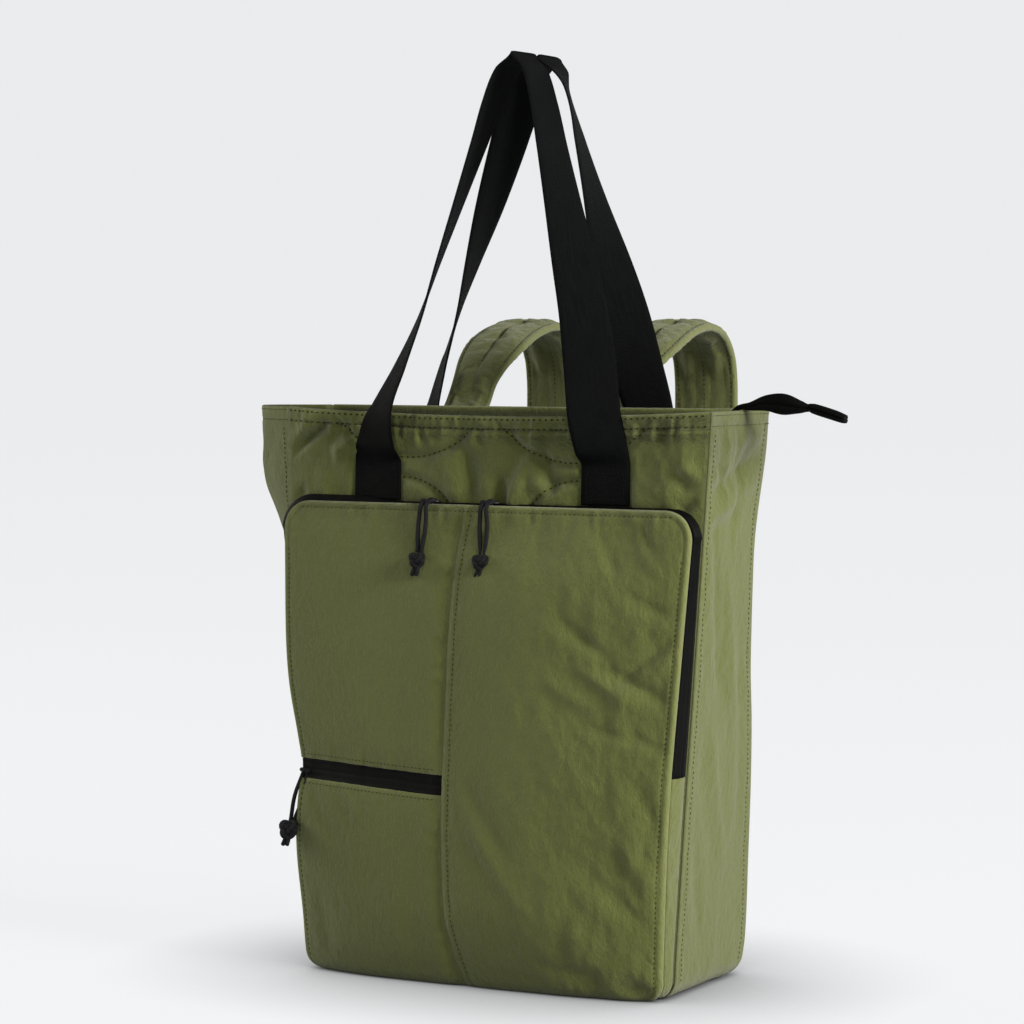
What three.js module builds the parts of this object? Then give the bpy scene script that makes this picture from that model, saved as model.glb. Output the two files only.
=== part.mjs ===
// A tall soft tote that also carries as a backpack: padded cloth shell, zipped front pocket,
// two webbing handles held up together, and two padded shoulder straps behind.
// Millimetres, +Z up. The front faces -Y, and the origin is the middle of the base on the floor.
import * as THREE from 'three';

const { lerp, smoothstep } = THREE.MathUtils;

// Driving dimensions of the shell
const BAG_HEIGHT = 413;
const RIM_WIDTH = 348;
const BASE_WIDTH = 303;
const RIM_DEPTH = 99;
const BASE_DEPTH = 124;
const CLOTH = 2.5;
const SEAM_GAP = 0.3;
const LIE_GAP = 0.6;
const FRONT_EDGE_RADIUS = 4;
const BACK_EDGE_RADIUS = 13;
const FOOT_RADIUS = 14;
const RIM_SAG = 5;
const WING_FLARE = 37;
const WING_PULL = 31;
const WING_DEPTH = 100;
const MOUTH_DRAW = 8;
const BACK_SHIFT = -4.5;

// Front pocket
const POCKET_TOP = 345;
const POCKET_DEPTH = 22;
const POCKET_CORNER = 22;
const POCKET_INSET = 3.5;
const POCKET_CLOTH = 2;
const POCKET_ROLL = 2;
const POCKET_FOOT_RADIUS = 8;
const POCKET_PUFF = 13;
const SEAM_OFFSET = -19;
const SEAM_TACK = 2.5;
const SEAM_TACK_WIDTH = 7;
const SEAM_TOP_TACK = 0.3;
const ZIP_CLEARANCE = 1.2;
const ZIP_THICKNESS = 1.5;
const LOW_ZIP_HEIGHT = 145;
const LOW_ZIP_WIDTH = 14.6;
const LOW_ZIP_RECESS = 1;
const ZIP_END_RISE = 6.7;
const ZIP_END_HEIGHT = LOW_ZIP_HEIGHT + LOW_ZIP_WIDTH / 2 + ZIP_END_RISE;

// Zip sliders and their cord pulls
const SLIDER_LENGTH = 13;
const SLIDER_WIDTH = 8;
const SLIDER_THICKNESS = 4;
const SLIDER_LIFT = 0.4;
const SLIDER_SETBACK = 1;
const CORD_DIAMETER = 3;
const KNOT_WIDTH = 12;
const KNOT_LENGTH = 19.2;
const LEFT_SLIDER_X = -44;
const RIGHT_SLIDER_X = 5;

// Top zip
const MOUTH_ZIP_WIDTH = 24;
const MOUTH_ZIP_DROP = 12;
const MOUTH_ZIP_CLEARANCE = 1;
const MOUTH_ZIP_END_SHARE = 0.06;
const TAIL_LENGTH = 52;
const TAIL_HEIGHT = 15;
const TAIL_THICKNESS = 9;
const TAB_LENGTH = 28;
const TAB_HEIGHT = 8;

// Handles
const WEBBING_WIDTH = 38;
const WEBBING_THICKNESS = 2;
const HANDLE_HALF_SPACING = 93;
const HANDLE_FOOT = POCKET_TOP + POCKET_INSET;
const HANDLE_SEWN = 25;
const HANDLE_RISE = 296;
const HANDLE_TOP_X = 10;
const HANDLE_TOP_GAP = 1;
const BACK_LIMB_SPREAD = 0.5;
const BACK_FOOT_GAP = 1.2;

// Shoulder straps
const STRAP_HALF_SPACING = 52;
const STRAP_SPREAD = 9;
const STRAP_SPREAD_END = 0.4;
const STRAP_UNTURN = [0.08, 0.2];
const STRAP_WIDTH = 52;
const STRAP_BASE_WIDTH = 30;
const STRAP_THICKNESS = 10;
const STRAP_BASE_THICKNESS = 6;
const STRAP_BASE_LENGTH = 24;
const STRAP_BASE_DROP = 10;
const STRAP_ARCH = 64;
const STRAP_REACH = 160;
const STRAP_LIE_GAP = 1.6;
const STRAP_DROP = 345;
const STRAP_TOE_OUT = 26;
const LOWER_WEBBING_WIDTH = 25;
const LOWER_WEBBING_THICKNESS = 1.8;
const LOWER_WEBBING_BOW = 0.06;
const LOWER_WEBBING_SAG = 4;
const ADJUSTER_HEIGHT = 30;
const ADJUSTER_WIDTH = 34;
const ADJUSTER_THICKNESS = 6;
const ANCHOR_HEIGHT = 34;
const ANCHOR_INSET = 39.5;
const ANCHOR_HALF_SPACING = BASE_WIDTH / 2 - ANCHOR_INSET;

// Depth of the shell's corners by height: up is a share of BAG_HEIGHT, front and back of half BASE_DEPTH
const SIDE_PROFILE = [
  { up: 0.00, front: 0.97, back: 1.00 },
  { up: 0.07, front: 0.98, back: 1.08 },
  { up: 0.21, front: 0.96, back: 1.05 },
  { up: 0.34, front: 0.94, back: 1.01 },
  { up: 0.45, front: 0.91, back: 0.94 },
  { up: 0.56, front: 0.88, back: 0.82 },
  { up: 0.77, front: 0.84, back: 0.75 },
  { up: 0.92, front: 0.81, back: 0.79 },
  { up: 1.00, front: 0.80, back: 0.76 },
];

// How far the pocket stands off the shell: up is a share of POCKET_TOP, depth of POCKET_DEPTH,
// puff of POCKET_PUFF, seam is the sideways shift of the centre seam as a share of SEAM_OFFSET
const POCKET_PROFILE = [
  { up: 0.00, depth: 0.66, puff: 0.90, seam: 0.20 },
  { up: 0.06, depth: 0.72, puff: 1.00, seam: 0.45 },
  { up: 0.14, depth: 0.78, puff: 0.95, seam: 0.75 },
  { up: 0.30, depth: 0.95, puff: 0.60, seam: 0.97 },
  { up: 0.46, depth: 1.00, puff: 0.35, seam: 1.00 },
  { up: 0.70, depth: 0.86, puff: 0.30, seam: 1.00 },
  { up: 0.92, depth: 0.68, puff: 0.20, seam: 0.85 },
  { up: 1.00, depth: 0.66, puff: 0.10, seam: 0.70 },
];

// Soft folds of the cloth: place and size are shares of the panel's width and height, deep of CLOTH,
// lean is how far the fold moves across while it runs from its foot to its head
const YOKE_FOLDS = [
  { across: 0.12, lean: 0.03, wide: 0.040, from: 0.85, to: 1.04, deep: -1.2 },
  { across: 0.40, lean: -0.02, wide: 0.035, from: 0.85, to: 1.03, deep: -1.1 },
  { across: 0.62, lean: 0.03, wide: 0.040, from: 0.85, to: 1.02, deep: 1.0 },
  { across: 0.88, lean: -0.04, wide: 0.040, from: 0.85, to: 1.03, deep: -1.3 },
];
const POCKET_FOLDS = [
  { across: 0.03, lean: -0.01, wide: 0.070, from: 0.30, to: 0.58, deep: -3.4 },
  { across: 0.30, lean: 0.05, wide: 0.040, from: 0.02, to: 0.32, deep: 1.0 },
  { across: 0.66, lean: 0.20, wide: 0.040, from: 0.40, to: 0.80, deep: -1.0 },
  { across: 0.80, lean: 0.12, wide: 0.035, from: -0.05, to: 0.22, deep: -1.8 },
];
const GUSSET_FOLDS = [
  { across: 0.30, lean: 0.25, wide: 0.10, from: 0.50, to: 0.80, deep: -1.4 },
  { across: 0.60, lean: -0.25, wide: 0.12, from: 0.18, to: 0.48, deep: 1.6 },
  { across: 0.55, lean: 0.30, wide: 0.09, from: 0.78, to: 1.00, deep: -1.4 },
];

// Handle limbs: rise is a share of HANDLE_RISE, inward of the way to the top, turn in degrees from flat,
// out is how far the limb bows clear of the panel, as a share of WEBBING_WIDTH
const LIMB_PATH = [
  { rise: 0.00, inward: 0.000 },
  { rise: 0.13, inward: 0.075 },
  { rise: 0.24, inward: 0.170 },
  { rise: 0.36, inward: 0.280 },
  { rise: 0.49, inward: 0.400 },
  { rise: 0.64, inward: 0.545 },
  { rise: 0.78, inward: 0.680 },
  { rise: 0.88, inward: 0.775 },
  { rise: 0.96, inward: 0.880 },
  { rise: 1.00, inward: 1.000 },
];
const FRONT_TWIST = [
  { rise: 0.00, left: 0, right: 0, leftOut: 0.00, rightOut: 0.00 },
  { rise: 0.05, left: 18, right: 18, leftOut: 0.18, rightOut: 0.18 },
  { rise: 0.13, left: 36, right: 28, leftOut: 0.36, rightOut: 0.28 },
  { rise: 0.24, left: 48, right: 33, leftOut: 0.16, rightOut: 0.12 },
  { rise: 0.36, left: 57, right: 48, leftOut: 0.00, rightOut: 0.00 },
  { rise: 0.49, left: 65, right: 60, leftOut: 0.00, rightOut: 0.00 },
  { rise: 0.64, left: 72, right: 74, leftOut: 0.00, rightOut: 0.00 },
  { rise: 0.80, left: 80, right: 84, leftOut: 0.00, rightOut: 0.00 },
  { rise: 1.00, left: 90, right: 90, leftOut: 0.00, rightOut: 0.00 },
];
const BACK_TWIST = [
  { rise: 0.00, left: 0, right: 0, leftOut: 0.00, rightOut: 0.00 },
  { rise: 0.05, left: 20, right: 2, leftOut: 0.20, rightOut: 0.04 },
  { rise: 0.14, left: 48, right: 5, leftOut: 0.42, rightOut: 0.04 },
  { rise: 0.24, left: 56, right: 20, leftOut: 0.12, rightOut: 0.00 },
  { rise: 0.36, left: 63, right: 42, leftOut: 0.00, rightOut: 0.00 },
  { rise: 0.49, left: 77, right: 66, leftOut: 0.00, rightOut: 0.00 },
  { rise: 0.64, left: 95, right: 90, leftOut: 0.00, rightOut: 0.00 },
  { rise: 0.80, left: 108, right: 106, leftOut: 0.00, rightOut: 0.00 },
  { rise: 0.92, left: 113, right: 113, leftOut: 0.00, rightOut: 0.00 },
  { rise: 1.00, left: 90, right: 90, leftOut: 0.00, rightOut: 0.00 },
];

// A shoulder strap's middle line. Over the arch, reach is a share of STRAP_REACH behind the panel and
// up of STRAP_ARCH above the rim. Below it, reach is the same share and drop a share of STRAP_DROP.
const STRAP_ARCH_PATH = [
  { reach: 0.07, up: 0.02 },
  { reach: 0.15, up: 0.29 },
  { reach: 0.25, up: 0.53 },
  { reach: 0.40, up: 0.75 },
  { reach: 0.56, up: 0.88 },
  { reach: 0.72, up: 0.92 },
  { reach: 0.86, up: 0.82 },
  { reach: 0.95, up: 0.58 },
  { reach: 0.98, up: 0.28 },
];
const STRAP_FALL_PATH = [
  { reach: 0.98, drop: 0.05 },
  { reach: 0.96, drop: 0.20 },
  { reach: 0.90, drop: 0.36 },
  { reach: 0.80, drop: 0.54 },
  { reach: 0.68, drop: 0.72 },
  { reach: 0.58, drop: 0.84 },
];

// How much of its full width a strap's padding has: along is a share of the way down the strap
const STRAP_GROWTH = [
  { along: 0.00, grown: 0.00 },
  { along: 0.16, grown: 0.00 },
  { along: 0.24, grown: 0.50 },
  { along: 0.32, grown: 1.00 },
  { along: 0.85, grown: 1.00 },
  { along: 1.00, grown: 0.75 },
];

// The cord loops, from the slider down to the knot, as distances from the top of each
const LEFT_PULL = [
  { across: 0.0, forward: 0.0, down: 0.0 },
  { across: -0.2, forward: 4.6, down: 3.7 },
  { across: -0.6, forward: 5.0, down: 11.1 },
  { across: -1.0, forward: 5.7, down: 18.5 },
  { across: -1.5, forward: 6.5, down: 27.7 },
  { across: -2.0, forward: 7.2, down: 37.0 },
];
const RIGHT_PULL = [
  { across: 0.0, forward: 0.0, down: 0.0 },
  { across: 0.1, forward: 4.6, down: 3.7 },
  { across: 0.3, forward: 5.0, down: 11.1 },
  { across: 0.5, forward: 5.7, down: 18.5 },
  { across: 0.8, forward: 6.5, down: 27.7 },
  { across: 1.0, forward: 7.2, down: 37.0 },
];
const LOW_PULL = [
  { across: 0.0, forward: 0.0, down: 0.0 },
  { across: -0.6, forward: 0.3, down: 3.7 },
  { across: -1.8, forward: 0.7, down: 11.1 },
  { across: -3.0, forward: 1.1, down: 18.5 },
  { across: -4.5, forward: 1.6, down: 27.7 },
  { across: -6.0, forward: 2.1, down: 37.0 },
];

// The top zip's joined end: out is a share of TAIL_LENGTH past the rim, lift of TAIL_HEIGHT above the rim
// to its underside, tall of TAIL_HEIGHT and thick of TAIL_THICKNESS
const TAIL_PATH = [
  { out: -0.50, lift: 0.00, tall: 0.25, thick: 0.70 },
  { out: 0.06, lift: 0.00, tall: 0.42, thick: 0.76 },
  { out: 0.25, lift: 0.00, tall: 0.78, thick: 0.90 },
  { out: 0.55, lift: -0.16, tall: 1.00, thick: 1.00 },
  { out: 0.85, lift: -0.08, tall: 0.60, thick: 0.90 },
  { out: 1.00, lift: 0.00, tall: 0.37, thick: 0.74 },
];

// Its tab: out and drop are shares of TAB_LENGTH, tall of TAB_HEIGHT
const TAB_PATH = [
  { out: 0.00, drop: 0.00, tall: 0.75 },
  { out: 0.12, drop: 0.02, tall: 1.00 },
  { out: 0.70, drop: 0.22, tall: 1.00 },
  { out: 0.93, drop: 0.26, tall: 0.85 },
  { out: 1.00, drop: 0.24, tall: 0.40 },
];

const OLIVE = new THREE.MeshStandardMaterial({ color: 0x5f6e33, roughness: 0.9 });
const STRAP_OLIVE = new THREE.MeshStandardMaterial({ color: 0x66743a, roughness: 0.92 });
const BLACK_WEBBING = new THREE.MeshStandardMaterial({ color: 0x17181a, roughness: 0.75 });
const BLACK_ZIP = new THREE.MeshStandardMaterial({ color: 0x121214, roughness: 0.6 });
const BLACK_METAL = new THREE.MeshStandardMaterial({ color: 0x101010, roughness: 0.4, metalness: 0.6 });
const BLACK_PLASTIC = new THREE.MeshStandardMaterial({ color: 0x141414, roughness: 0.5 });

const group = new THREE.Group();

function add(name, geometry, material) {
  const mesh = new THREE.Mesh(geometry, material.clone());
  mesh.name = name;
  group.add(mesh);
}

// Reads one column of a table at a place between its rows, with an easy curve between them.
function read(rows, key, column, at) {
  const last = rows.length - 1;
  if (at <= rows[0][key]) {
    return rows[0][column];
  }
  if (at >= rows[last][key]) {
    return rows[last][column];
  }
  const i = rows.findIndex((row) => row[key] > at) - 1;
  const share = (at - rows[i][key]) / (rows[i + 1][key] - rows[i][key]);
  const slope = (j) => {
    if (j <= 0 || j >= last) {
      return 0;
    }
    return (rows[j + 1][column] - rows[j - 1][column]) / (rows[j + 1][key] - rows[j - 1][key]);
  };
  const span = rows[i + 1][key] - rows[i][key];
  const s2 = share * share;
  const s3 = s2 * share;
  return (2 * s3 - 3 * s2 + 1) * rows[i][column] + (3 * s2 - 2 * s3) * rows[i + 1][column]
    + (s3 - 2 * s2 + share) * span * slope(i) + (s3 - s2) * span * slope(i + 1);
}

// Evenly spaced shares from 0 to 1.
function even(steps) {
  return Array.from({ length: steps + 1 }, (_, i) => i / steps);
}

// A closed body from a list of rings of points, each ring going round the same way, capped at both ends.
function loft(rings) {
  const count = rings[0].length;
  const positions = rings.flat().flatMap((p) => [p.x, p.y, p.z]);
  const index = [];
  for (let i = 0; i < rings.length - 1; i += 1) {
    for (let j = 0; j < count; j += 1) {
      const a = i * count + j;
      const b = i * count + (j + 1) % count;
      index.push(a, b, a + count, b, b + count, a + count);
    }
  }
  const end = (rings.length - 1) * count;
  for (let j = 1; j < count - 1; j += 1) {
    index.push(0, j + 1, j);
    index.push(end, end + j, end + j + 1);
  }
  return closed(positions, index);
}

// Makes the geometry, with its faces turned outwards.
function closed(positions, index) {
  let volume = 0;
  const corner = (i) => new THREE.Vector3(...positions.slice(3 * i, 3 * i + 3));
  for (let i = 0; i < index.length; i += 3) {
    volume += corner(index[i]).dot(corner(index[i + 1]).cross(corner(index[i + 2])));
  }
  if (volume < 0) {
    for (let i = 0; i < index.length; i += 3) {
      [index[i + 1], index[i + 2]] = [index[i + 2], index[i + 1]];
    }
  }
  const geometry = new THREE.BufferGeometry();
  geometry.setAttribute('position', new THREE.Float32BufferAttribute(positions, 3));
  geometry.setIndex(index);
  geometry.computeVertexNormals();
  return geometry;
}

// A closed cloth wall between two surfaces, each a function of a place across and a place up.
function wallBetween(outer, inner, across, up) {
  const wide = across.length;
  const tall = up.length;
  const grid = (surface) => up.flatMap((b) => across.map((a) => surface(a, b)));
  const points = [...grid(outer), ...grid(inner)];
  const index = [];
  const quad = (a, b, c, d) => index.push(a, b, c, a, c, d);
  const at = (layer, i, j) => layer * wide * tall + j * wide + i;
  for (let j = 0; j < tall - 1; j += 1) {
    for (let i = 0; i < wide - 1; i += 1) {
      quad(at(0, i, j), at(0, i + 1, j), at(0, i + 1, j + 1), at(0, i, j + 1));
      quad(at(1, i, j), at(1, i, j + 1), at(1, i + 1, j + 1), at(1, i + 1, j));
    }
  }
  for (let i = 0; i < wide - 1; i += 1) {
    quad(at(0, i, 0), at(1, i, 0), at(1, i + 1, 0), at(0, i + 1, 0));
    quad(at(0, i, tall - 1), at(0, i + 1, tall - 1), at(1, i + 1, tall - 1), at(1, i, tall - 1));
  }
  for (let j = 0; j < tall - 1; j += 1) {
    quad(at(0, 0, j), at(0, 0, j + 1), at(1, 0, j + 1), at(1, 0, j));
    quad(at(0, wide - 1, j), at(1, wide - 1, j), at(1, wide - 1, j + 1), at(0, wide - 1, j + 1));
  }
  return closed(points.flatMap((p) => [p.x, p.y, p.z]), index);
}

// Sum of the soft folds at a place given as shares across and up a panel, as a distance outwards.
function foldsAt(folds, across, up) {
  return folds.reduce((sum, fold) => {
    const along = (up - fold.from) / (fold.to - fold.from);
    if (along <= 0 || along >= 1) {
      return sum;
    }
    const middle = fold.across + fold.lean * along;
    const ridge = Math.exp(-(((across - middle) / fold.wide) ** 2));
    return sum + fold.deep * CLOTH * ridge * Math.sin(Math.PI * along);
  }, 0);
}

// Shell sizes at a height
const halfWidth = (z) => lerp(BASE_WIDTH, RIM_WIDTH, z / BAG_HEIGHT) / 2;
const depthScale = (z) => 1 + (RIM_DEPTH / BASE_DEPTH / 0.8 - 1) * (z / BAG_HEIGHT);
const frontY = (z) => -read(SIDE_PROFILE, 'up', 'front', z / BAG_HEIGHT) * depthScale(z) * BASE_DEPTH / 2;
const backY = (z) => read(SIDE_PROFILE, 'up', 'back', z / BAG_HEIGHT) * depthScale(z) * BASE_DEPTH / 2;
const wing = (z) => smoothstep(z, BAG_HEIGHT - 1.15 * WING_DEPTH, BAG_HEIGHT - 0.15 * WING_DEPTH);
const footInset = (z) => {
  const below = Math.max(0, FOOT_RADIUS - z);
  return FOOT_RADIUS - Math.sqrt(FOOT_RADIUS ** 2 - below ** 2);
};

// The shell's four corners at a height, seen from above and counter-clockwise from the front left.
function corners(z) {
  const half = halfWidth(z) - footInset(z);
  const back = backY(z) - footInset(z);
  const backRadius = Math.max(BACK_EDGE_RADIUS - footInset(z), FRONT_EDGE_RADIUS);
  return [
    { x: -half, y: frontY(z), radius: FRONT_EDGE_RADIUS },
    { x: half, y: frontY(z), radius: FRONT_EDGE_RADIUS },
    { x: half, y: back, radius: backRadius },
    { x: -half, y: back - WING_PULL * wing(z), radius: backRadius },
  ];
}

// A point of one wall and its outward direction in plan. The wall runs from the middle of one rounded
// corner to the middle of the next; a is the share of the way, with the corners in its end stretches.
const WALLS = ['front', 'right', 'back', 'left'];
const CORNER_SHARE = 0.08;
function wallCorners(wall, z) {
  const ring = corners(z);
  const first = WALLS.indexOf(wall);
  return [0, 1, 2, 3].map((step) => ring[(first + step) % 4]);
}

function wallPlace(wall, a, z, inside) {
  const [start, end, after, before] = wallCorners(wall, z);
  const direction = (p, q) => Math.atan2(q.y - p.y, q.x - p.x);
  const heading = direction(start, end);
  const turn = (from, to) => Math.atan2(Math.sin(to - from), Math.cos(to - from));
  const startTurn = turn(direction(before, start), heading);
  const endTurn = turn(heading, direction(end, after));
  const length = Math.hypot(end.x - start.x, end.y - start.y);
  const ahead = { x: Math.cos(heading), y: Math.sin(heading) };
  const outward = { x: ahead.y, y: -ahead.x };
  const startSpan = start.radius * Math.tan(startTurn / 2);
  const endSpan = end.radius * Math.tan(endTurn / 2);
  const trim = (corner) => SEAM_GAP / 2 / (corner.radius - CLOTH);
  if (a >= CORNER_SHARE && a <= 1 - CORNER_SHARE) {
    const share = (a - CORNER_SHARE) / (1 - 2 * CORNER_SHARE);
    const along = lerp(startSpan, length - endSpan, share);
    return {
      x: start.x + ahead.x * along - outward.x * inside,
      y: start.y + ahead.y * along - outward.y * inside,
      outward,
      share,
    };
  }
  const first = a < CORNER_SHARE;
  const corner = first ? start : end;
  const along = first ? startSpan : length - endSpan;
  const angle = first
    ? -(startTurn / 2 - trim(corner)) * (1 - a / CORNER_SHARE)
    : (endTurn / 2 - trim(corner)) * (1 - (1 - a) / CORNER_SHARE);
  const away = {
    x: outward.x * Math.cos(angle) - outward.y * Math.sin(angle),
    y: outward.x * Math.sin(angle) + outward.y * Math.cos(angle),
  };
  return {
    x: start.x + ahead.x * along + (away.x - outward.x) * corner.radius + away.x * -inside,
    y: start.y + ahead.y * along + (away.y - outward.y) * corner.radius + away.y * -inside,
    outward: away,
    share: first ? 0 : 1,
  };
}

// Where the mouth dips or draws in, and where each wall folds, as a distance outwards.
function wallRelief(wall, share, up) {
  const middle = 4 * share * (1 - share);
  if (wall === 'front') {
    return foldsAt(YOKE_FOLDS, share, up) * Math.min(1, 6 * middle);
  }
  if (wall === 'right') {
    return foldsAt(GUSSET_FOLDS, share, up) * middle;
  }
  if (wall === 'back') {
    return -MOUTH_DRAW * middle * smoothstep(up, 0.5, 1);
  }
  return WING_FLARE * middle * wing(up * BAG_HEIGHT) + foldsAt(GUSSET_FOLDS, 1 - share, up) * middle;
}

// A point of a wall, inside by so much. Where the foot rolls under, a wall's inner face lies above its
// outer one; the front wall stands straight except at its ends, which follow the gussets.
function shellPoint(wall, a, up, inside) {
  const z = up * BAG_HEIGHT;
  const upright = wall === 'front' && Math.min(a, 1 - a) > CORNER_SHARE;
  const under = upright ? 0 : Math.max(0, 1 - z / FOOT_RADIUS);
  const place = wallPlace(wall, a, z, inside * Math.sqrt(1 - under ** 2));
  const relief = wallRelief(wall, place.share, up);
  const sag = wall === 'front' ? RIM_SAG * 4 * place.share * (1 - place.share) * up ** 8 : 0;
  const lift = inside * under;
  return new THREE.Vector3(
    place.x + place.outward.x * relief,
    place.y + place.outward.y * relief,
    z - sag + lift,
  );
}

// Heights of a wall's rows, the same on every wall so that their seams meet, and closer together where
// the foot rolls under. The front wall stands on the base panel, so it leaves out the lowest row.
const BASE_TOP = CLOTH + SEAM_GAP;
function wallRows(bottom) {
  const roll = [0, BASE_TOP, 0.45 * FOOT_RADIUS, FOOT_RADIUS].filter((z) => z >= bottom);
  const above = [0.15, 0.27, 0.39, 0.51, 0.63, 0.75, 0.84, 0.88, 0.92, 0.96, 1];
  return [...roll.map((z) => z / BAG_HEIGHT), ...above];
}

function wallColumns(steps) {
  const straight = even(steps).map((share) => lerp(CORNER_SHARE, 1 - CORNER_SHARE, share));
  return [0, CORNER_SHARE / 2, ...straight, 1 - CORNER_SHARE / 2, 1];
}

function shellWall(wall, bottom, columns) {
  const outer = (a, up) => shellPoint(wall, a, up, 0);
  const inner = (a, up) => shellPoint(wall, a, up, CLOTH);
  return wallBetween(outer, inner, wallColumns(columns), wallRows(bottom));
}

function buildShell() {
  add('front_panel', shellWall('front', BASE_TOP, 22), OLIVE);
  add('gusset_right', shellWall('right', 0, 8), OLIVE);
  add('back_panel', shellWall('back', 0, 14), OLIVE);
  add('gusset_left', shellWall('left', 0, 8), OLIVE);
}

// Sizes of the pocket at a height
const pocketHalf = (z) => halfWidth(z) - POCKET_INSET - footInset(z);
const pocketShare = (z) => z / POCKET_TOP;
const pocketEdgeY = (z) => frontY(z) - read(POCKET_PROFILE, 'up', 'depth', pocketShare(z)) * POCKET_DEPTH;
const seamX = (z) => read(POCKET_PROFILE, 'up', 'seam', pocketShare(z)) * SEAM_OFFSET;

// Half the pocket's width at a height, inside its rounded top corners.
function pocketReach(z) {
  const above = Math.min(POCKET_CORNER, Math.max(0, z - (POCKET_TOP - POCKET_CORNER)));
  return pocketHalf(z) - POCKET_CORNER + Math.sqrt(POCKET_CORNER ** 2 - above ** 2);
}

// How far a place on the pocket's face lies inside the face's edge.
function insideEdge(x, z) {
  const half = pocketHalf(z);
  const sideways = Math.abs(x) - (half - POCKET_CORNER);
  const above = z - (POCKET_TOP - POCKET_CORNER);
  if (sideways > 0 && above > 0) {
    return Math.max(0, POCKET_CORNER - Math.hypot(sideways, above));
  }
  return Math.max(0, Math.min(half - Math.abs(x), POCKET_TOP - z));
}

const rollBack = (distance, radius) => {
  const near = Math.max(0, radius - distance);
  return radius - Math.sqrt(Math.max(0, radius ** 2 - near ** 2));
};

// The pocket's outer face: crowned, tacked down along its seams, with rolled edges.
function pocketFaceY(x, z) {
  const half = pocketHalf(z);
  const across = Math.min(1, Math.abs(x) / half);
  const crown = (1 - across ** 4) * read(POCKET_PROFILE, 'up', 'puff', pocketShare(z)) * POCKET_PUFF;
  const atTop = smoothstep(z, POCKET_TOP - POCKET_CORNER, POCKET_TOP);
  const tack = SEAM_TACK * lerp(1, SEAM_TOP_TACK, atTop) * Math.exp(-(((x - seamX(z)) / SEAM_TACK_WIDTH) ** 2));
  const onLeft = smoothstep(seamX(z) - x, 0, 2 * SEAM_TACK_WIDTH);
  const lowTack = SEAM_TACK * onLeft * Math.exp(-(((z - LOW_ZIP_HEIGHT) / LOW_ZIP_WIDTH) ** 2));
  const folds = foldsAt(POCKET_FOLDS, (x + half) / (2 * half), pocketShare(z));
  const edges = rollBack(insideEdge(x, z), POCKET_ROLL) + rollBack(z, POCKET_FOOT_RADIUS);
  return pocketEdgeY(z) - crown + tack + lowTack - folds + edges;
}

// One piece of the pocket's face between two sides given by functions of height.
function pocketPiece(leftAt, rightAt, bottom, top, columns, rows) {
  const place = (a, b, inside) => {
    const z = lerp(bottom, top, b);
    const x = lerp(leftAt(z), rightAt(z), a);
    return new THREE.Vector3(x, pocketFaceY(x, z) + inside, z);
  };
  return wallBetween((a, b) => place(a, b, 0), (a, b) => place(a, b, POCKET_CLOTH), columns, rows);
}

function buildPocket() {
  const zipTop = LOW_ZIP_HEIGHT + LOW_ZIP_WIDTH / 2;
  const zipBottom = LOW_ZIP_HEIGHT - LOW_ZIP_WIDTH / 2;
  const halfGap = SEAM_GAP / 2;
  const leftOf = (z) => seamX(z) - halfGap;
  const rightOf = (z) => seamX(z) + halfGap;
  const leftEdge = (z) => -pocketReach(z);
  const towardsRight = [0, 0.05, 0.15, 0.28, 0.42, 0.56, 0.7, 0.84, 0.95, 0.988, 1];
  const towardsLeft = towardsRight.map((share) => 1 - share).reverse();
  const foot = [0, 0.003, 0.01, 0.024];
  const head = [0.93, 0.957, 0.975, 0.988, 0.996, 1];
  const full = [...foot, ...even(10).map((share) => lerp(0.06, 0.9, share)), ...head];
  const upper = [0, 0.08, 0.2, 0.35, 0.5, 0.65, 0.78, 0.86, ...head.map((share) => 1 - 1.7 * (1 - share))];
  const lower = [0, 0.008, 0.025, 0.06, 0.15, 0.3, 0.45, 0.6, 0.75, 0.88, 1];
  add('pocket_panel_right',
    pocketPiece(rightOf, pocketReach, 0, POCKET_TOP, towardsRight, full), OLIVE);
  add('pocket_panel_left_upper',
    pocketPiece(leftEdge, leftOf, zipTop + halfGap, POCKET_TOP, towardsLeft, upper), OLIVE);
  add('pocket_panel_left_lower',
    pocketPiece(leftEdge, leftOf, 0, zipBottom - halfGap, towardsLeft, lower), OLIVE);
  const zipLeft = (z) => leftEdge(z) + POCKET_ROLL;
  const tape = (a, b, inside) => {
    const z = lerp(zipBottom + halfGap, zipTop - halfGap, b);
    const x = lerp(zipLeft(z), seamX(z) - SEAM_GAP, a);
    return new THREE.Vector3(x, pocketFaceY(x, z) + LOW_ZIP_RECESS + inside, z);
  };
  add('low_zip_tape',
    wallBetween((a, b) => tape(a, b, 0), (a, b) => tape(a, b, ZIP_THICKNESS), even(10), even(2)), BLACK_ZIP);
}

// The narrow band between the shell and the pocket's face. s runs along the pocket's outline, and t from
// the shell, at 0, to the face, at 1.
function bandPlace(outline, t, inside) {
  const { x, z, outX, outZ } = outline;
  const backEdge = frontY(z) - SEAM_GAP;
  const frontEdge = pocketFaceY(x, z) + POCKET_CLOTH + ZIP_CLEARANCE;
  const flare = lerp(POCKET_INSET / 2, 0, t);
  const y = lerp(backEdge, frontEdge, t);
  return new THREE.Vector3(x + outX * (flare - inside), y, z + outZ * (flare * 0.6 - inside));
}

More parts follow.
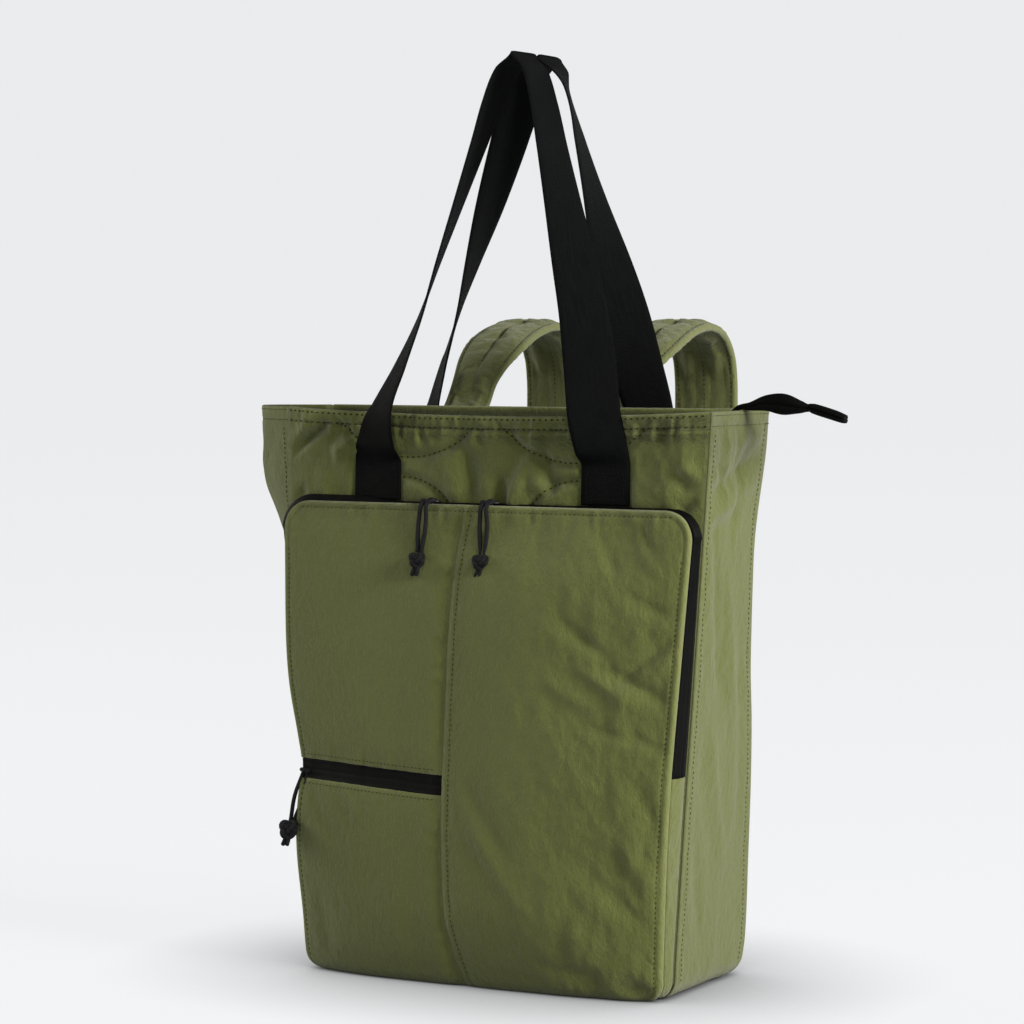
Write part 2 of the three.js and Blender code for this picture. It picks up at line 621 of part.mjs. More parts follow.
// Points of the pocket's outline from the right side's low end, over the top, to the left side.
function pocketOutline(lowest) {
  const side = (sign, z) => ({ x: sign * pocketHalf(z), z, outX: sign, outZ: 0 });
  const arc = (sign, angle) => ({
    x: sign * (pocketHalf(POCKET_TOP) - POCKET_CORNER + POCKET_CORNER * Math.cos(angle)),
    z: POCKET_TOP - POCKET_CORNER + POCKET_CORNER * Math.sin(angle),
    outX: sign * Math.cos(angle),
    outZ: Math.sin(angle),
  });
  const heights = even(9).map((share) => lerp(lowest, POCKET_TOP - POCKET_CORNER, share));
  const angles = even(5).slice(1).map((share) => share * Math.PI / 2);
  const topHalf = pocketHalf(POCKET_TOP) - POCKET_CORNER;
  const across = even(14).slice(1, -1).map((share) => ({
    x: lerp(topHalf, -topHalf, share), z: POCKET_TOP, outX: 0, outZ: 1,
  }));
  return [
    ...heights.map((z) => side(1, z)),
    ...angles.map((angle) => arc(1, angle)),
    ...across,
    ...angles.map((angle) => arc(-1, angle)).reverse(),
    ...heights.map((z) => side(-1, z)).reverse(),
  ];
}

function band(outline, thickness) {
  const steps = outline.map((_, i) => i);
  const outer = (i, t) => bandPlace(outline[i], t, 0);
  const inner = (i, t) => bandPlace(outline[i], t, thickness);
  return wallBetween(outer, inner, steps, [0, 0.5, 1]);
}

function buildPocketBand() {
  add('pocket_zip_tape', band(pocketOutline(ZIP_END_HEIGHT), ZIP_THICKNESS), BLACK_ZIP);
  const heights = [0, 0.012, 0.042, 0.1, 0.25, 0.4, 0.55, 0.7, 0.85, 1]
    .map((share) => lerp(CLOTH + SEAM_GAP, ZIP_END_HEIGHT - SEAM_GAP, share));
  for (const [name, sign] of [['pocket_side_right', 1], ['pocket_side_left', -1]]) {
    const outline = heights.map((z) => ({ x: sign * pocketHalf(z), z, outX: sign, outZ: 0 }));
    add(name, band(outline, POCKET_CLOTH), OLIVE);
  }
}

// The floor of the bag runs forward under the pocket, and stops short of the walls that roll under.
function buildBase() {
  const back = backY(0) - FOOT_RADIUS - LIE_GAP;
  const front = (x) => pocketFaceY(x, 0) + POCKET_CLOTH + ZIP_CLEARANCE;
  const half = halfWidth(0) - FOOT_RADIUS - POCKET_INSET - LIE_GAP;
  const place = (a, b, inside) => {
    const x = lerp(-half, half, a);
    return new THREE.Vector3(x, lerp(front(x), back, b), inside);
  };
  add('base_panel',
    wallBetween((a, b) => place(a, b, 0), (a, b) => place(a, b, CLOTH), even(20), even(3)), OLIVE);
}

// The frame of a flat strip at a point of its middle line: across is made square to the line.
function squareTo(tangent, across) {
  return across.clone().addScaledVector(tangent, -across.dot(tangent)).normalize();
}

// Half sections of a strip: u is a share of half its width, v of half its thickness
const FLAT = [{ u: -1, v: -1 }, { u: 1, v: -1 }, { u: 1, v: 1 }, { u: -1, v: 1 }];
const PADDED = [
  { u: -1, v: -0.3 }, { u: -0.88, v: -0.85 }, { u: 0, v: -1 }, { u: 0.88, v: -0.85 }, { u: 1, v: -0.3 },
  { u: 1, v: 0.3 }, { u: 0.88, v: 0.85 }, { u: 0, v: 1 }, { u: -0.88, v: 0.85 }, { u: -1, v: 0.3 },
];

// One ring of a strip, square to its line.
function section(outline, centre, tangent, across, width, thickness) {
  const side = squareTo(tangent, across);
  const normal = new THREE.Vector3().crossVectors(tangent, side);
  return outline.map(({ u, v }) => centre.clone()
    .addScaledVector(side, u * width / 2)
    .addScaledVector(normal, v * thickness / 2));
}

// A strip of webbing or padding along a curve, whose direction across, width and thickness are functions
// of the share of the way along it.
function strip(curve, shares, outline, acrossAt, widthAt, thickAt) {
  return loft(shares.map((share) => section(
    outline, curve.getPoint(share), curve.getTangent(share), acrossAt(share), widthAt(share), thickAt(share))));
}

// A handle: sewn flat to its panel at both feet, with each limb turning as it rises to the shared top.
function handle(side, twist) {
  const back = side > 0;
  const wall = back ? 'back' : 'front';
  const shift = back ? BACK_SHIFT : 0;
  const sewn = HANDLE_FOOT + HANDLE_SEWN;
  const edgeAt = (x, z, end) => shellSurfaceY(wall, x + end * WEBBING_WIDTH / 2, z);
  const clear = (back ? BACK_FOOT_GAP : LIE_GAP) + WEBBING_THICKNESS / 2;
  const panelAt = (x, z) => side * (clear + Math.max(side * shellSurfaceY(wall, x, z),
    side * (edgeAt(x, z, -1) + edgeAt(x, z, 1)) / 2));
  const panelAngle = (x, z) => Math.atan2(edgeAt(x, z, 1) - edgeAt(x, z, -1), WEBBING_WIDTH);
  const topY = side * (WEBBING_WIDTH + HANDLE_TOP_GAP) / 2;
  const stations = [];
  const limbStation = (sign, rise) => {
    const footX = shift + sign * HANDLE_HALF_SPACING;
    const name = sign < 0 ? 'left' : 'right';
    const inward = read(LIMB_PATH, 'rise', 'inward', rise);
    const out = read(twist, 'rise', `${name}Out`, rise) * WEBBING_WIDTH;
    const flat = panelAngle(footX, sewn) * (1 - smoothstep(rise, 0, 0.1));
    const turn = THREE.MathUtils.degToRad(read(twist, 'rise', name, rise)) + sign * flat;
    return {
      centre: new THREE.Vector3(
        lerp(footX, HANDLE_TOP_X, inward) + (back ? sign * BACK_LIMB_SPREAD * out : 0),
        lerp(panelAt(footX, sewn), topY, rise) + side * out,
        sewn + rise * HANDLE_RISE,
      ),
      angle: sign < 0 ? -turn : turn - Math.PI,
    };
  };
  const sewnStation = (sign, share) => {
    const x = shift + sign * HANDLE_HALF_SPACING;
    const z = lerp(HANDLE_FOOT, sewn, share);
    const over = sign < 0 ? 0 : Math.PI;
    return { centre: new THREE.Vector3(x, panelAt(x, z), z), angle: panelAngle(x, z) - over };
  };
  const rises = even(26).slice(1);
  const seat = even(2);
  seat.forEach((share) => stations.push(sewnStation(-1, share)));
  rises.forEach((rise) => stations.push(limbStation(-1, rise)));
  rises.slice(0, -1).reverse().forEach((rise) => stations.push(limbStation(1, rise)));
  seat.reverse().forEach((share) => stations.push(sewnStation(1, share)));
  const last = stations.length - 1;
  return loft(stations.map(({ centre, angle }, i) => {
    const before = stations[Math.max(0, i - 1)].centre;
    const after = stations[Math.min(last, i + 1)].centre;
    const tangent = after.clone().sub(before).normalize();
    const across = new THREE.Vector3(Math.cos(angle), Math.sin(angle), 0);
    return section(FLAT, centre, tangent, across, WEBBING_WIDTH, WEBBING_THICKNESS);
  }));
}

// The shell's outer y at a place, for what is sewn to the front or back.
function shellSurfaceY(wall, x, z) {
  const up = z / BAG_HEIGHT;
  const [start, end] = wallCorners(wall, z);
  const share = THREE.MathUtils.clamp((x - start.x) / (end.x - start.x), 0.02, 0.98);
  const place = wallPlace(wall, lerp(CORNER_SHARE, 1 - CORNER_SHARE, share), z, 0);
  return place.y + place.outward.y * wallRelief(wall, share, up);
}

function buildHandles() {
  add('handle_front', handle(-1, FRONT_TWIST), BLACK_WEBBING);
  add('handle_back', handle(1, BACK_TWIST), BLACK_WEBBING);
}

// How far behind the bag's middle a flat strip lies on the back panel, and the panel's heading there.
function lieBehind(x, z, width, thickness) {
  const [near, middle, far] = [-1, 0, 1].map((end) => shellSurfaceY('back', x + end * width / 2, z));
  return {
    y: STRAP_LIE_GAP + thickness / 2 + Math.max(middle, (near + far) / 2),
    angle: Math.atan2(far - near, width),
  };
}

// A shoulder strap's middle line: sewn flat to the back panel under the rim, arching up and back, then
// falling to its adjuster.
function strapLine(sign) {
  const baseX = BACK_SHIFT + sign * STRAP_HALF_SPACING;
  const archX = baseX + sign * STRAP_SPREAD;
  const baseTop = BAG_HEIGHT - STRAP_BASE_DROP;
  const baseBottom = baseTop - STRAP_BASE_LENGTH;
  const behind = lieBehind(baseX, baseTop, STRAP_BASE_WIDTH, STRAP_BASE_THICKNESS).y;
  const foot = lieBehind(baseX, baseBottom, STRAP_BASE_WIDTH, STRAP_BASE_THICKNESS).y;
  const arch = STRAP_ARCH_PATH.map(({ reach, up }) => new THREE.Vector3(
    lerp(baseX, archX, smoothstep(reach, 0, STRAP_SPREAD_END)),
    behind + reach * STRAP_REACH,
    BAG_HEIGHT + up * STRAP_ARCH,
  ));
  const fall = STRAP_FALL_PATH.map(({ reach, drop }) => new THREE.Vector3(
    archX + sign * STRAP_TOE_OUT * drop ** 2,
    behind + reach * STRAP_REACH,
    BAG_HEIGHT - drop * STRAP_DROP,
  ));
  const points = [new THREE.Vector3(baseX, foot, baseBottom), new THREE.Vector3(baseX, behind, baseTop)];
  return new THREE.CatmullRomCurve3([...points, ...arch, ...fall], false, 'centripetal');
}

// The lower webbing's middle line, from under the adjuster to the foot of the back panel.
function lowerLine(sign, start, fall) {
  const x = sign * ANCHOR_HALF_SPACING;
  const sewnZ = ANCHOR_HEIGHT + LOWER_WEBBING_WIDTH / 2;
  const at = (z) => lieBehind(x, z, LOWER_WEBBING_WIDTH, LOWER_WEBBING_THICKNESS).y;
  const leave = start.clone().addScaledVector(fall, ADJUSTER_THICKNESS);
  const sewnTop = new THREE.Vector3(x, at(sewnZ) + SEAM_GAP, sewnZ);
  const bow = new THREE.Vector3(0, LOWER_WEBBING_BOW * leave.distanceTo(sewnTop), -LOWER_WEBBING_SAG);
  const hang = leave.clone().lerp(sewnTop, 0.5).add(bow);
  const anchor = new THREE.Vector3(x, at(ANCHOR_HEIGHT), ANCHOR_HEIGHT);
  return new THREE.CatmullRomCurve3([start, leave, hang, sewnTop, anchor], false, 'centripetal');
}

function buildStrap(sign, side) {
  const line = strapLine(sign);
  const sideways = () => new THREE.Vector3(1, 0, 0);
  const base = lieBehind(BACK_SHIFT + sign * STRAP_HALF_SPACING, BAG_HEIGHT - STRAP_BASE_DROP,
    STRAP_BASE_WIDTH, STRAP_BASE_THICKNESS);
  const padAcross = (share) => {
    const angle = base.angle * (1 - smoothstep(share, ...STRAP_UNTURN));
    return new THREE.Vector3(Math.cos(angle), Math.sin(angle), 0);
  };
  const grown = (share) => read(STRAP_GROWTH, 'along', 'grown', share);
  const widthAt = (share) => lerp(STRAP_BASE_WIDTH, STRAP_WIDTH, grown(share));
  const thickAt = (share) => lerp(STRAP_BASE_THICKNESS, STRAP_THICKNESS, grown(share));
  add(`shoulder_strap_${side}`, strip(line, even(30), PADDED, padAcross, widthAt, thickAt), STRAP_OLIVE);

  const fall = line.getTangent(1);
  const top = line.getPoint(1).addScaledVector(fall, SEAM_GAP);
  const end = top.clone().addScaledVector(fall, ADJUSTER_HEIGHT);
  add(`strap_adjuster_${side}`, strip(new THREE.LineCurve3(top, end), [0, 1], FLAT, sideways,
    () => ADJUSTER_WIDTH, () => ADJUSTER_THICKNESS), BLACK_PLASTIC);

  const lower = lowerLine(sign, end.clone().addScaledVector(fall, SEAM_GAP), fall);
  add(`strap_webbing_${side}`, strip(lower, even(14), FLAT, sideways,
    () => LOWER_WEBBING_WIDTH, () => LOWER_WEBBING_THICKNESS), BLACK_WEBBING);
}

// A small tapered block for a zip slider, lying in a plane given by two directions.
function sliderBody(centre, along, across) {
  const up = new THREE.Vector3().crossVectors(along, across);
  const ring = (share, wide, thick) => [[-1, -1], [1, -1], [1, 1], [-1, 1]].map(([u, v]) => centre.clone()
    .addScaledVector(along, share * SLIDER_LENGTH / 2)
    .addScaledVector(across, u * wide * SLIDER_WIDTH / 2)
    .addScaledVector(up, v * thick * SLIDER_THICKNESS / 2));
  return loft([ring(-1, 0.7, 0.7), ring(-0.6, 1, 1), ring(0.5, 1, 1), ring(1, 0.55, 0.7)]);
}

// A cord loop, its two strands together as one round cord.
function cordTube(points, diameter) {
  const curve = new THREE.CatmullRomCurve3(points, false, 'centripetal');
  const circle = new THREE.Shape(even(8).slice(0, -1).map((share) => new THREE.Vector2(
    diameter / 2 * Math.cos(2 * Math.PI * share), diameter / 2 * Math.sin(2 * Math.PI * share))));
  return new THREE.ExtrudeGeometry(circle, { steps: 14, extrudePath: curve, bevelEnabled: false });
}

// A knot, as a round body longer than it is wide.
function knotBody(centre) {
  const profile = even(6).map((share) => {
    const angle = (share - 0.5) * Math.PI;
    return new THREE.Vector2(KNOT_WIDTH / 2 * Math.cos(angle), KNOT_LENGTH / 2 * Math.sin(angle));
  });
  profile[0].x = 0;
  profile[6].x = 0;
  const geometry = new THREE.LatheGeometry(profile, 10);
  geometry.rotateX(Math.PI / 2);
  geometry.translate(centre.x, centre.y, centre.z);
  return geometry;
}

function buildPull(name, top, path) {
  const points = path.map(({ across, forward, down }) => new THREE.Vector3(
    top.x + across, top.y - forward, top.z - down));
  add(`pull_cord_${name}`, cordTube(points, CORD_DIAMETER), BLACK_ZIP);
  const last = points[points.length - 1];
  const z = last.z - KNOT_LENGTH / 2 - SEAM_GAP;
  const y = Math.min(last.y, pocketFaceY(last.x, z) - KNOT_WIDTH / 2 - SEAM_GAP);
  add(`pull_knot_${name}`, knotBody(new THREE.Vector3(last.x, y, z)), BLACK_ZIP);
}

// The slider on the top run of the pocket's zip, at a place across, with its pull.
function topSlider(name, x, path) {
  const z = POCKET_TOP + SEAM_GAP + SLIDER_THICKNESS / 2;
  const y = (frontY(POCKET_TOP) + pocketFaceY(x, POCKET_TOP)) / 2 - SLIDER_SETBACK;
  add(`pocket_slider_${name}`, sliderBody(new THREE.Vector3(x, y, z + SLIDER_LIFT),
    new THREE.Vector3(1, 0, 0), new THREE.Vector3(0, 1, 0)), BLACK_METAL);
  const front = y - SLIDER_WIDTH / 2 - CORD_DIAMETER / 2 - SEAM_GAP;
  buildPull(name, new THREE.Vector3(x, front, z), path);
}

function lowSlider() {
  const z = LOW_ZIP_HEIGHT;
  const x = -pocketReach(z) + POCKET_ROLL + SLIDER_LENGTH / 2 + SLIDER_SETBACK;
  const face = Math.min(pocketFaceY(x - SLIDER_LENGTH / 2, z), pocketFaceY(x + SLIDER_LENGTH / 2, z));
  const y = face + LOW_ZIP_RECESS - LIE_GAP - SLIDER_THICKNESS / 2;
  add('low_slider', sliderBody(new THREE.Vector3(x, y, z), new THREE.Vector3(1, 0, 0),
    new THREE.Vector3(0, 0, 1)), BLACK_METAL);
  const front = y - SLIDER_THICKNESS / 2 - CORD_DIAMETER / 2 - SEAM_GAP;
  buildPull('low', new THREE.Vector3(x - SLIDER_LENGTH / 3, front, z - SLIDER_SETBACK), LOW_PULL);
}

function buildPulls() {
  topSlider('left', LEFT_SLIDER_X, LEFT_PULL);
  topSlider('right', RIGHT_SLIDER_X, RIGHT_PULL);
  lowSlider();
}

// The top zip is open, so each of its tapes hangs inside its own rim.
function buildMouthZip() {
  const top = (wall, share) => shellPoint(wall, lerp(CORNER_SHARE, 1 - CORNER_SHARE, share), 1, 0).z;
  const tape = (wall, a, b, inside) => {
    const share = lerp(MOUTH_ZIP_END_SHARE, 1 - MOUTH_ZIP_END_SHARE, a);
    const drop = MOUTH_ZIP_DROP + (1 - b) * MOUTH_ZIP_WIDTH;
    const place = wallPlace(wall, lerp(CORNER_SHARE, 1 - CORNER_SHARE, share), BAG_HEIGHT - drop, 0);
    const inwards = CLOTH + MOUTH_ZIP_CLEARANCE + inside - wallRelief(wall, share, 1 - drop / BAG_HEIGHT);
    return new THREE.Vector3(place.x - place.outward.x * inwards, place.y - place.outward.y * inwards,
      top(wall, share) - drop);
  };
  for (const [name, wall] of [['mouth_zip_front', 'front'], ['mouth_zip_back', 'back']]) {
    add(name, wallBetween((a, b) => tape(wall, a, b, 0), (a, b) => tape(wall, a, b, ZIP_THICKNESS),
      even(22), even(2)), BLACK_ZIP);
  }
}

// An eight-sided ring about a point, upright and square to X.
function ringAbout(centre, tall, thick) {
  return even(8).slice(0, -1).map((share) => new THREE.Vector3(
    centre.x,
    centre.y + thick / 2 * Math.cos(2 * Math.PI * share),
    centre.z + tall / 2 * Math.sin(2 * Math.PI * share),
  ));
}

// The joined end of the top zip lies on the right rim, stands out past it and ends in a folded tab.
function buildMouthTail() {
  const rimX = halfWidth(BAG_HEIGHT);
  const seat = BAG_HEIGHT + SEAM_GAP;
  const rings = TAIL_PATH.map(({ out, lift, tall, thick }) => ringAbout(
    new THREE.Vector3(rimX + out * TAIL_LENGTH, 0, seat + TAIL_HEIGHT * (lift + tall / 2)),
    tall * TAIL_HEIGHT,
    thick * TAIL_THICKNESS,
  ));
  add('mouth_zip_tail', loft(rings), BLACK_ZIP);

  const end = TAIL_PATH[TAIL_PATH.length - 1];
  const endX = rimX + end.out * TAIL_LENGTH + SEAM_GAP;
  const endZ = seat + TAIL_HEIGHT * (end.lift + end.tall / 2);
  const tab = TAB_PATH.map(({ out, drop, tall }) => ringAbout(
    new THREE.Vector3(endX + out * TAB_LENGTH, 0, endZ - drop * TAB_LENGTH),
    tall * TAB_HEIGHT,
    tall * TAIL_THICKNESS,
  ));
  add('mouth_zip_tab', loft(tab), BLACK_ZIP);
}

buildShell();
buildBase();
buildPocket();
buildPocketBand();
buildPulls();
buildMouthZip();
buildMouthTail();
buildHandles();
buildStrap(-1, 'left');
buildStrap(1, 'right');

export default group;
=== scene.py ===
# Surfaces and finish of a tall olive tote that also carries as a backpack, in metres, +Z up, front to -Y.
import math

import bpy
import numpy as np
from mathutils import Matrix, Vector


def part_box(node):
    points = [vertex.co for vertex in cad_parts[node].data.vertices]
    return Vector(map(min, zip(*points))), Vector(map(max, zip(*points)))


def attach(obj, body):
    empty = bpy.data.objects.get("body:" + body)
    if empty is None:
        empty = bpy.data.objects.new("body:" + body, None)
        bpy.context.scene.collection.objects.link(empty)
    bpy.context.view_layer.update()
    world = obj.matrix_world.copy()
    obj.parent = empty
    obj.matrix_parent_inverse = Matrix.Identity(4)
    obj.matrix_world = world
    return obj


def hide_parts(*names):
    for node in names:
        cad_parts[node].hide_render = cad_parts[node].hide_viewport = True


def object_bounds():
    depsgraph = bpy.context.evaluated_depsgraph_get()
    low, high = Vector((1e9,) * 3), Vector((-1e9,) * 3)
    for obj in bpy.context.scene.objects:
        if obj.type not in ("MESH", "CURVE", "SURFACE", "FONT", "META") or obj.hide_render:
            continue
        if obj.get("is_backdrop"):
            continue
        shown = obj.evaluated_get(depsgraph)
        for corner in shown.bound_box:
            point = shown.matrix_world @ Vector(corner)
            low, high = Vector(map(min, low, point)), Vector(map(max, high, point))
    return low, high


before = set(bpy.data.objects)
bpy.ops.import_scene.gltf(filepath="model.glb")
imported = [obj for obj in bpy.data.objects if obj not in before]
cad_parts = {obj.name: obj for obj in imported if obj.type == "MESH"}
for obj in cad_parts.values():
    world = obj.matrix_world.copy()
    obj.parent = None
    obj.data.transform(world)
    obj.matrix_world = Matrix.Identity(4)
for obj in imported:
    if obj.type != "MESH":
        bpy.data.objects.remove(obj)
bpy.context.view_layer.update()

# The camera stands 2.5 m off and 28 degrees round to the right of the pocket, a little above the rim,
# and looks through a long lens, as a product photographer's does.
CAMERA_PLACE = (1.1887, -2.2354, 0.4787)
CAMERA_TURN = math.radians(28.2)
CAMERA_PITCH = math.radians(3.2)
CAMERA_LENS = 121.7

camera_data = bpy.data.cameras.new("camera")
camera_data.lens = CAMERA_LENS
camera_data.clip_end = 30.0
camera = bpy.data.objects.new("camera", camera_data)
camera.location = CAMERA_PLACE
camera.rotation_euler = (math.pi / 2 - CAMERA_PITCH, 0.0, CAMERA_TURN)
bpy.context.scene.collection.objects.link(camera)
bpy.context.scene.camera = camera
bpy.context.scene.view_settings.view_transform = "Standard"

# The three zip pulls are loops of 3 mm braided cord, tied through the slider and knotted below, with the
# two ends left short. Each loop is one piece of two strands, and each knot is a real overhand knot.
STRAND_RADIUS = 0.0016
STRAND_SPREAD = {"left": 0.0014, "right": 0.0014, "low": 0.0022}
KNOT_SIZE = {"left": 0.0047, "right": 0.0047, "low": 0.0056}
KNOT_LIFT = 0.0050
CORD_POINTS = 40
CORD_COLOUR = (0.004, 0.004, 0.0045, 1.0)
CORD_DUST = (0.011, 0.011, 0.012, 1.0)
SLUMP_IN = 0.0115
SLUMP_IN_FOOT = 0.0065
SLUMP_UP = 0.0045
RIGHTWARDS, BACKWARDS, UPWARDS = np.eye(3)
PULLS = {
    "left": [(-0.0440, -0.0655, 0.3478), (-0.0442, -0.0712, 0.3436), (-0.0446, -0.0716, 0.3362),
             (-0.0450, -0.0722, 0.3288), (-0.0455, -0.0731, 0.3196), (-0.0460, -0.0740, 0.3103)],
    "right": [(0.0050, -0.0655, 0.3478), (0.0051, -0.0712, 0.3436), (0.0053, -0.0716, 0.3362),
              (0.0055, -0.0722, 0.3288), (0.0058, -0.0731, 0.3196), (0.0060, -0.0740, 0.3103)],
    "low": [(-0.1507, -0.0776, 0.1440), (-0.1513, -0.0778, 0.1403), (-0.1525, -0.0781, 0.1329),
            (-0.1537, -0.0785, 0.1255), (-0.1552, -0.0790, 0.1163), (-0.1567, -0.0796, 0.1070)],
}


def ease(value, low, high):
    """0 below low, 1 above high and a smooth S between them."""
    share = np.clip((value - low) / (high - low), 0.0, 1.0)
    return share * share * (3.0 - 2.0 * share)


def ridge(off, high, wide):
    """A soft ridge, or a groove where high is below 0: high * exp(-(off / wide)^2)."""
    return high * np.exp(-(off / wide)**2)


def slump(points):
    """The bag has sunk in on its left side at the height of the low zip, which draws that zip's end up.
    Both the move in and the move up are bells over the height, and grow towards the left."""
    points = np.array(points, float).reshape(-1, 3)
    x, z = points[:, 0], points[:, 2]
    left = ease(-x, 0.03, 0.165)
    inwards = ridge(z - 0.152, SLUMP_IN, 0.050) + SLUMP_IN_FOOT * (1 - ease(z, 0.03, 0.13))
    upwards = ridge(z - 0.145, SLUMP_UP, 0.045)
    return points + np.stack([left * inwards, 0 * x, ease(-x, 0.01, 0.16) * upwards], -1)


def put(name, points, faces, uv=None, smooth=True):
    """Makes a mesh object from arrays of points and faces, with a place on the cloth, in metres, as UV."""
    mesh = bpy.data.meshes.new(name)
    points = slump(points).astype(np.float32)
    faces = [np.asarray(block, np.int32) for block in (faces if isinstance(faces, list) else [faces])]
    sides = np.concatenate([np.full(len(block), block.shape[1]) for block in faces])
    corners = np.concatenate([block.ravel() for block in faces])
    mesh.vertices.add(len(points))
    mesh.vertices.foreach_set("co", points.ravel())
    mesh.loops.add(len(corners))
    mesh.loops.foreach_set("vertex_index", corners)
    mesh.polygons.add(len(sides))
    mesh.polygons.foreach_set("loop_start", np.concatenate([[0], np.cumsum(sides)[:-1]]))
    mesh.polygons.foreach_set("use_smooth", np.full(len(sides), smooth))
    mesh.update(calc_edges=True)
    mesh.validate()
    if uv is not None:
        layer = mesh.uv_layers.new(name="weave")
        layer.data.foreach_set("uv", np.asarray(uv, np.float32).reshape(-1, 2)[corners].ravel())
    made = bpy.data.objects.new(name, mesh)
    bpy.context.scene.collection.objects.link(made)
    return made


def fit(made, material, slot, *nodes):
    """Gives a piece its material, and lets it stand for the solids that it covers. The slot is not used."""
    made.data.materials.clear()
    made.data.materials.append(material)
    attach(made, "root")
    if nodes:
        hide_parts(*nodes)
    return made


def unit(vectors):
    """Each vector divided by its length."""
    return vectors / np.maximum(np.linalg.norm(vectors, axis=-1, keepdims=True), 1e-12)


def cubic(value, slope, i, s, span):
    """A cubic from knot i to the next one, a span further on, which meets the value and slope of both."""
    return ((2 * s**3 - 3 * s**2 + 1) * value[i] + (3 * s**2 - 2 * s**3) * value[i + 1]
            + (s**3 - 2 * s**2 + s) * span * slope[i] + (s**3 - s**2) * span * slope[i + 1])


def smooth_path(points, count):
    """Points spaced evenly along a soft curve through the given ones: a cubic between neighbours whose
    slope at a point is half the step between those on either side of it."""
    points = np.asarray(points, float)
    steps = np.linalg.norm(np.diff(points, axis=0), axis=1)
    at = np.concatenate([[0.0], np.cumsum(steps)])
    slope = np.gradient(points, at, axis=0)
    where = np.linspace(0.0, at[-1], count)
    i = np.clip(np.searchsorted(at, where, side="right") - 1, 0, len(at) - 2)
    span = (at[i + 1] - at[i])[:, None]
    return cubic(points, slope, i, (where - at[i])[:, None] / span, span)


def sweep(path, across, profile):
    """Carries a closed profile along a path. A profile point (p, q) lies p along the across direction,
    made square to the path, and q along the direction square to both. Both ends are capped by a fan.
    The across direction and the profile are one for the whole path, or one for each of its points."""
    tangent = unit(np.gradient(path, axis=0))
    across = unit(across - np.sum(across * tangent, axis=1, keepdims=True) * tangent)
    normal = np.cross(tangent, across)
    profile = np.broadcast_to(profile, (len(path),) + np.shape(profile)[-2:])
    rings = (path[:, None] + across[:, None] * profile[..., :1] + normal[:, None] * profile[..., 1:])
    rows, count = rings.shape[:2]
    i, j = np.meshgrid(np.arange(rows - 1), np.arange(count), indexing="ij")
    k = (j + 1) % count
    quads = np.stack([i * count + j, i * count + k, (i + 1) * count + k, (i + 1) * count + j], -1)
    middle = rows * count
    ring = np.arange(count)
    start = np.stack([np.full(count, middle), (ring + 1) % count, ring], -1)
    last = (rows - 1) * count
    end = np.stack([np.full(count, middle + 1), last + ring, last + (ring + 1) % count], -1)
    points = np.concatenate([rings.reshape(-1, 3), path[:1], path[-1:]])
    along = np.concatenate([[0.0], np.cumsum(np.linalg.norm(np.diff(path, axis=0), axis=1))])
    round_it = np.linalg.norm(profile - np.roll(profile, 1, axis=1), axis=2)
    uv = np.stack([np.cumsum(round_it, axis=1), np.broadcast_to(along[:, None], (rows, count))], -1)
    uv = np.concatenate([uv.reshape(-1, 2), [[0.0, 0.0], [0.0, along[-1]]]])
    return points, [quads.reshape(-1, 4), start, end], uv


def circle(radius, sides):
    """A round profile."""
    turn = 2.0 * np.pi * np.arange(sides) / sides
    return radius * np.stack([np.cos(turn), np.sin(turn)], -1)


def joined(parts):
    """Several (points, faces, uv) as one."""
    points, faces, uv, count = [], [], [], 0
    for part_points, part_faces, part_uv in parts:
        points.append(part_points)
        uv.append(part_uv)
        faces.extend(block + count for block in part_faces)
        count += len(part_points)
    return np.concatenate(points), faces, np.concatenate(uv)


# A wave node draws 20 ribs in 2 pi units at a scale of 1, so this scale makes it one rib a unit
WAVE_SCALE = 1.0 / 20.0 * 2.0 * math.pi


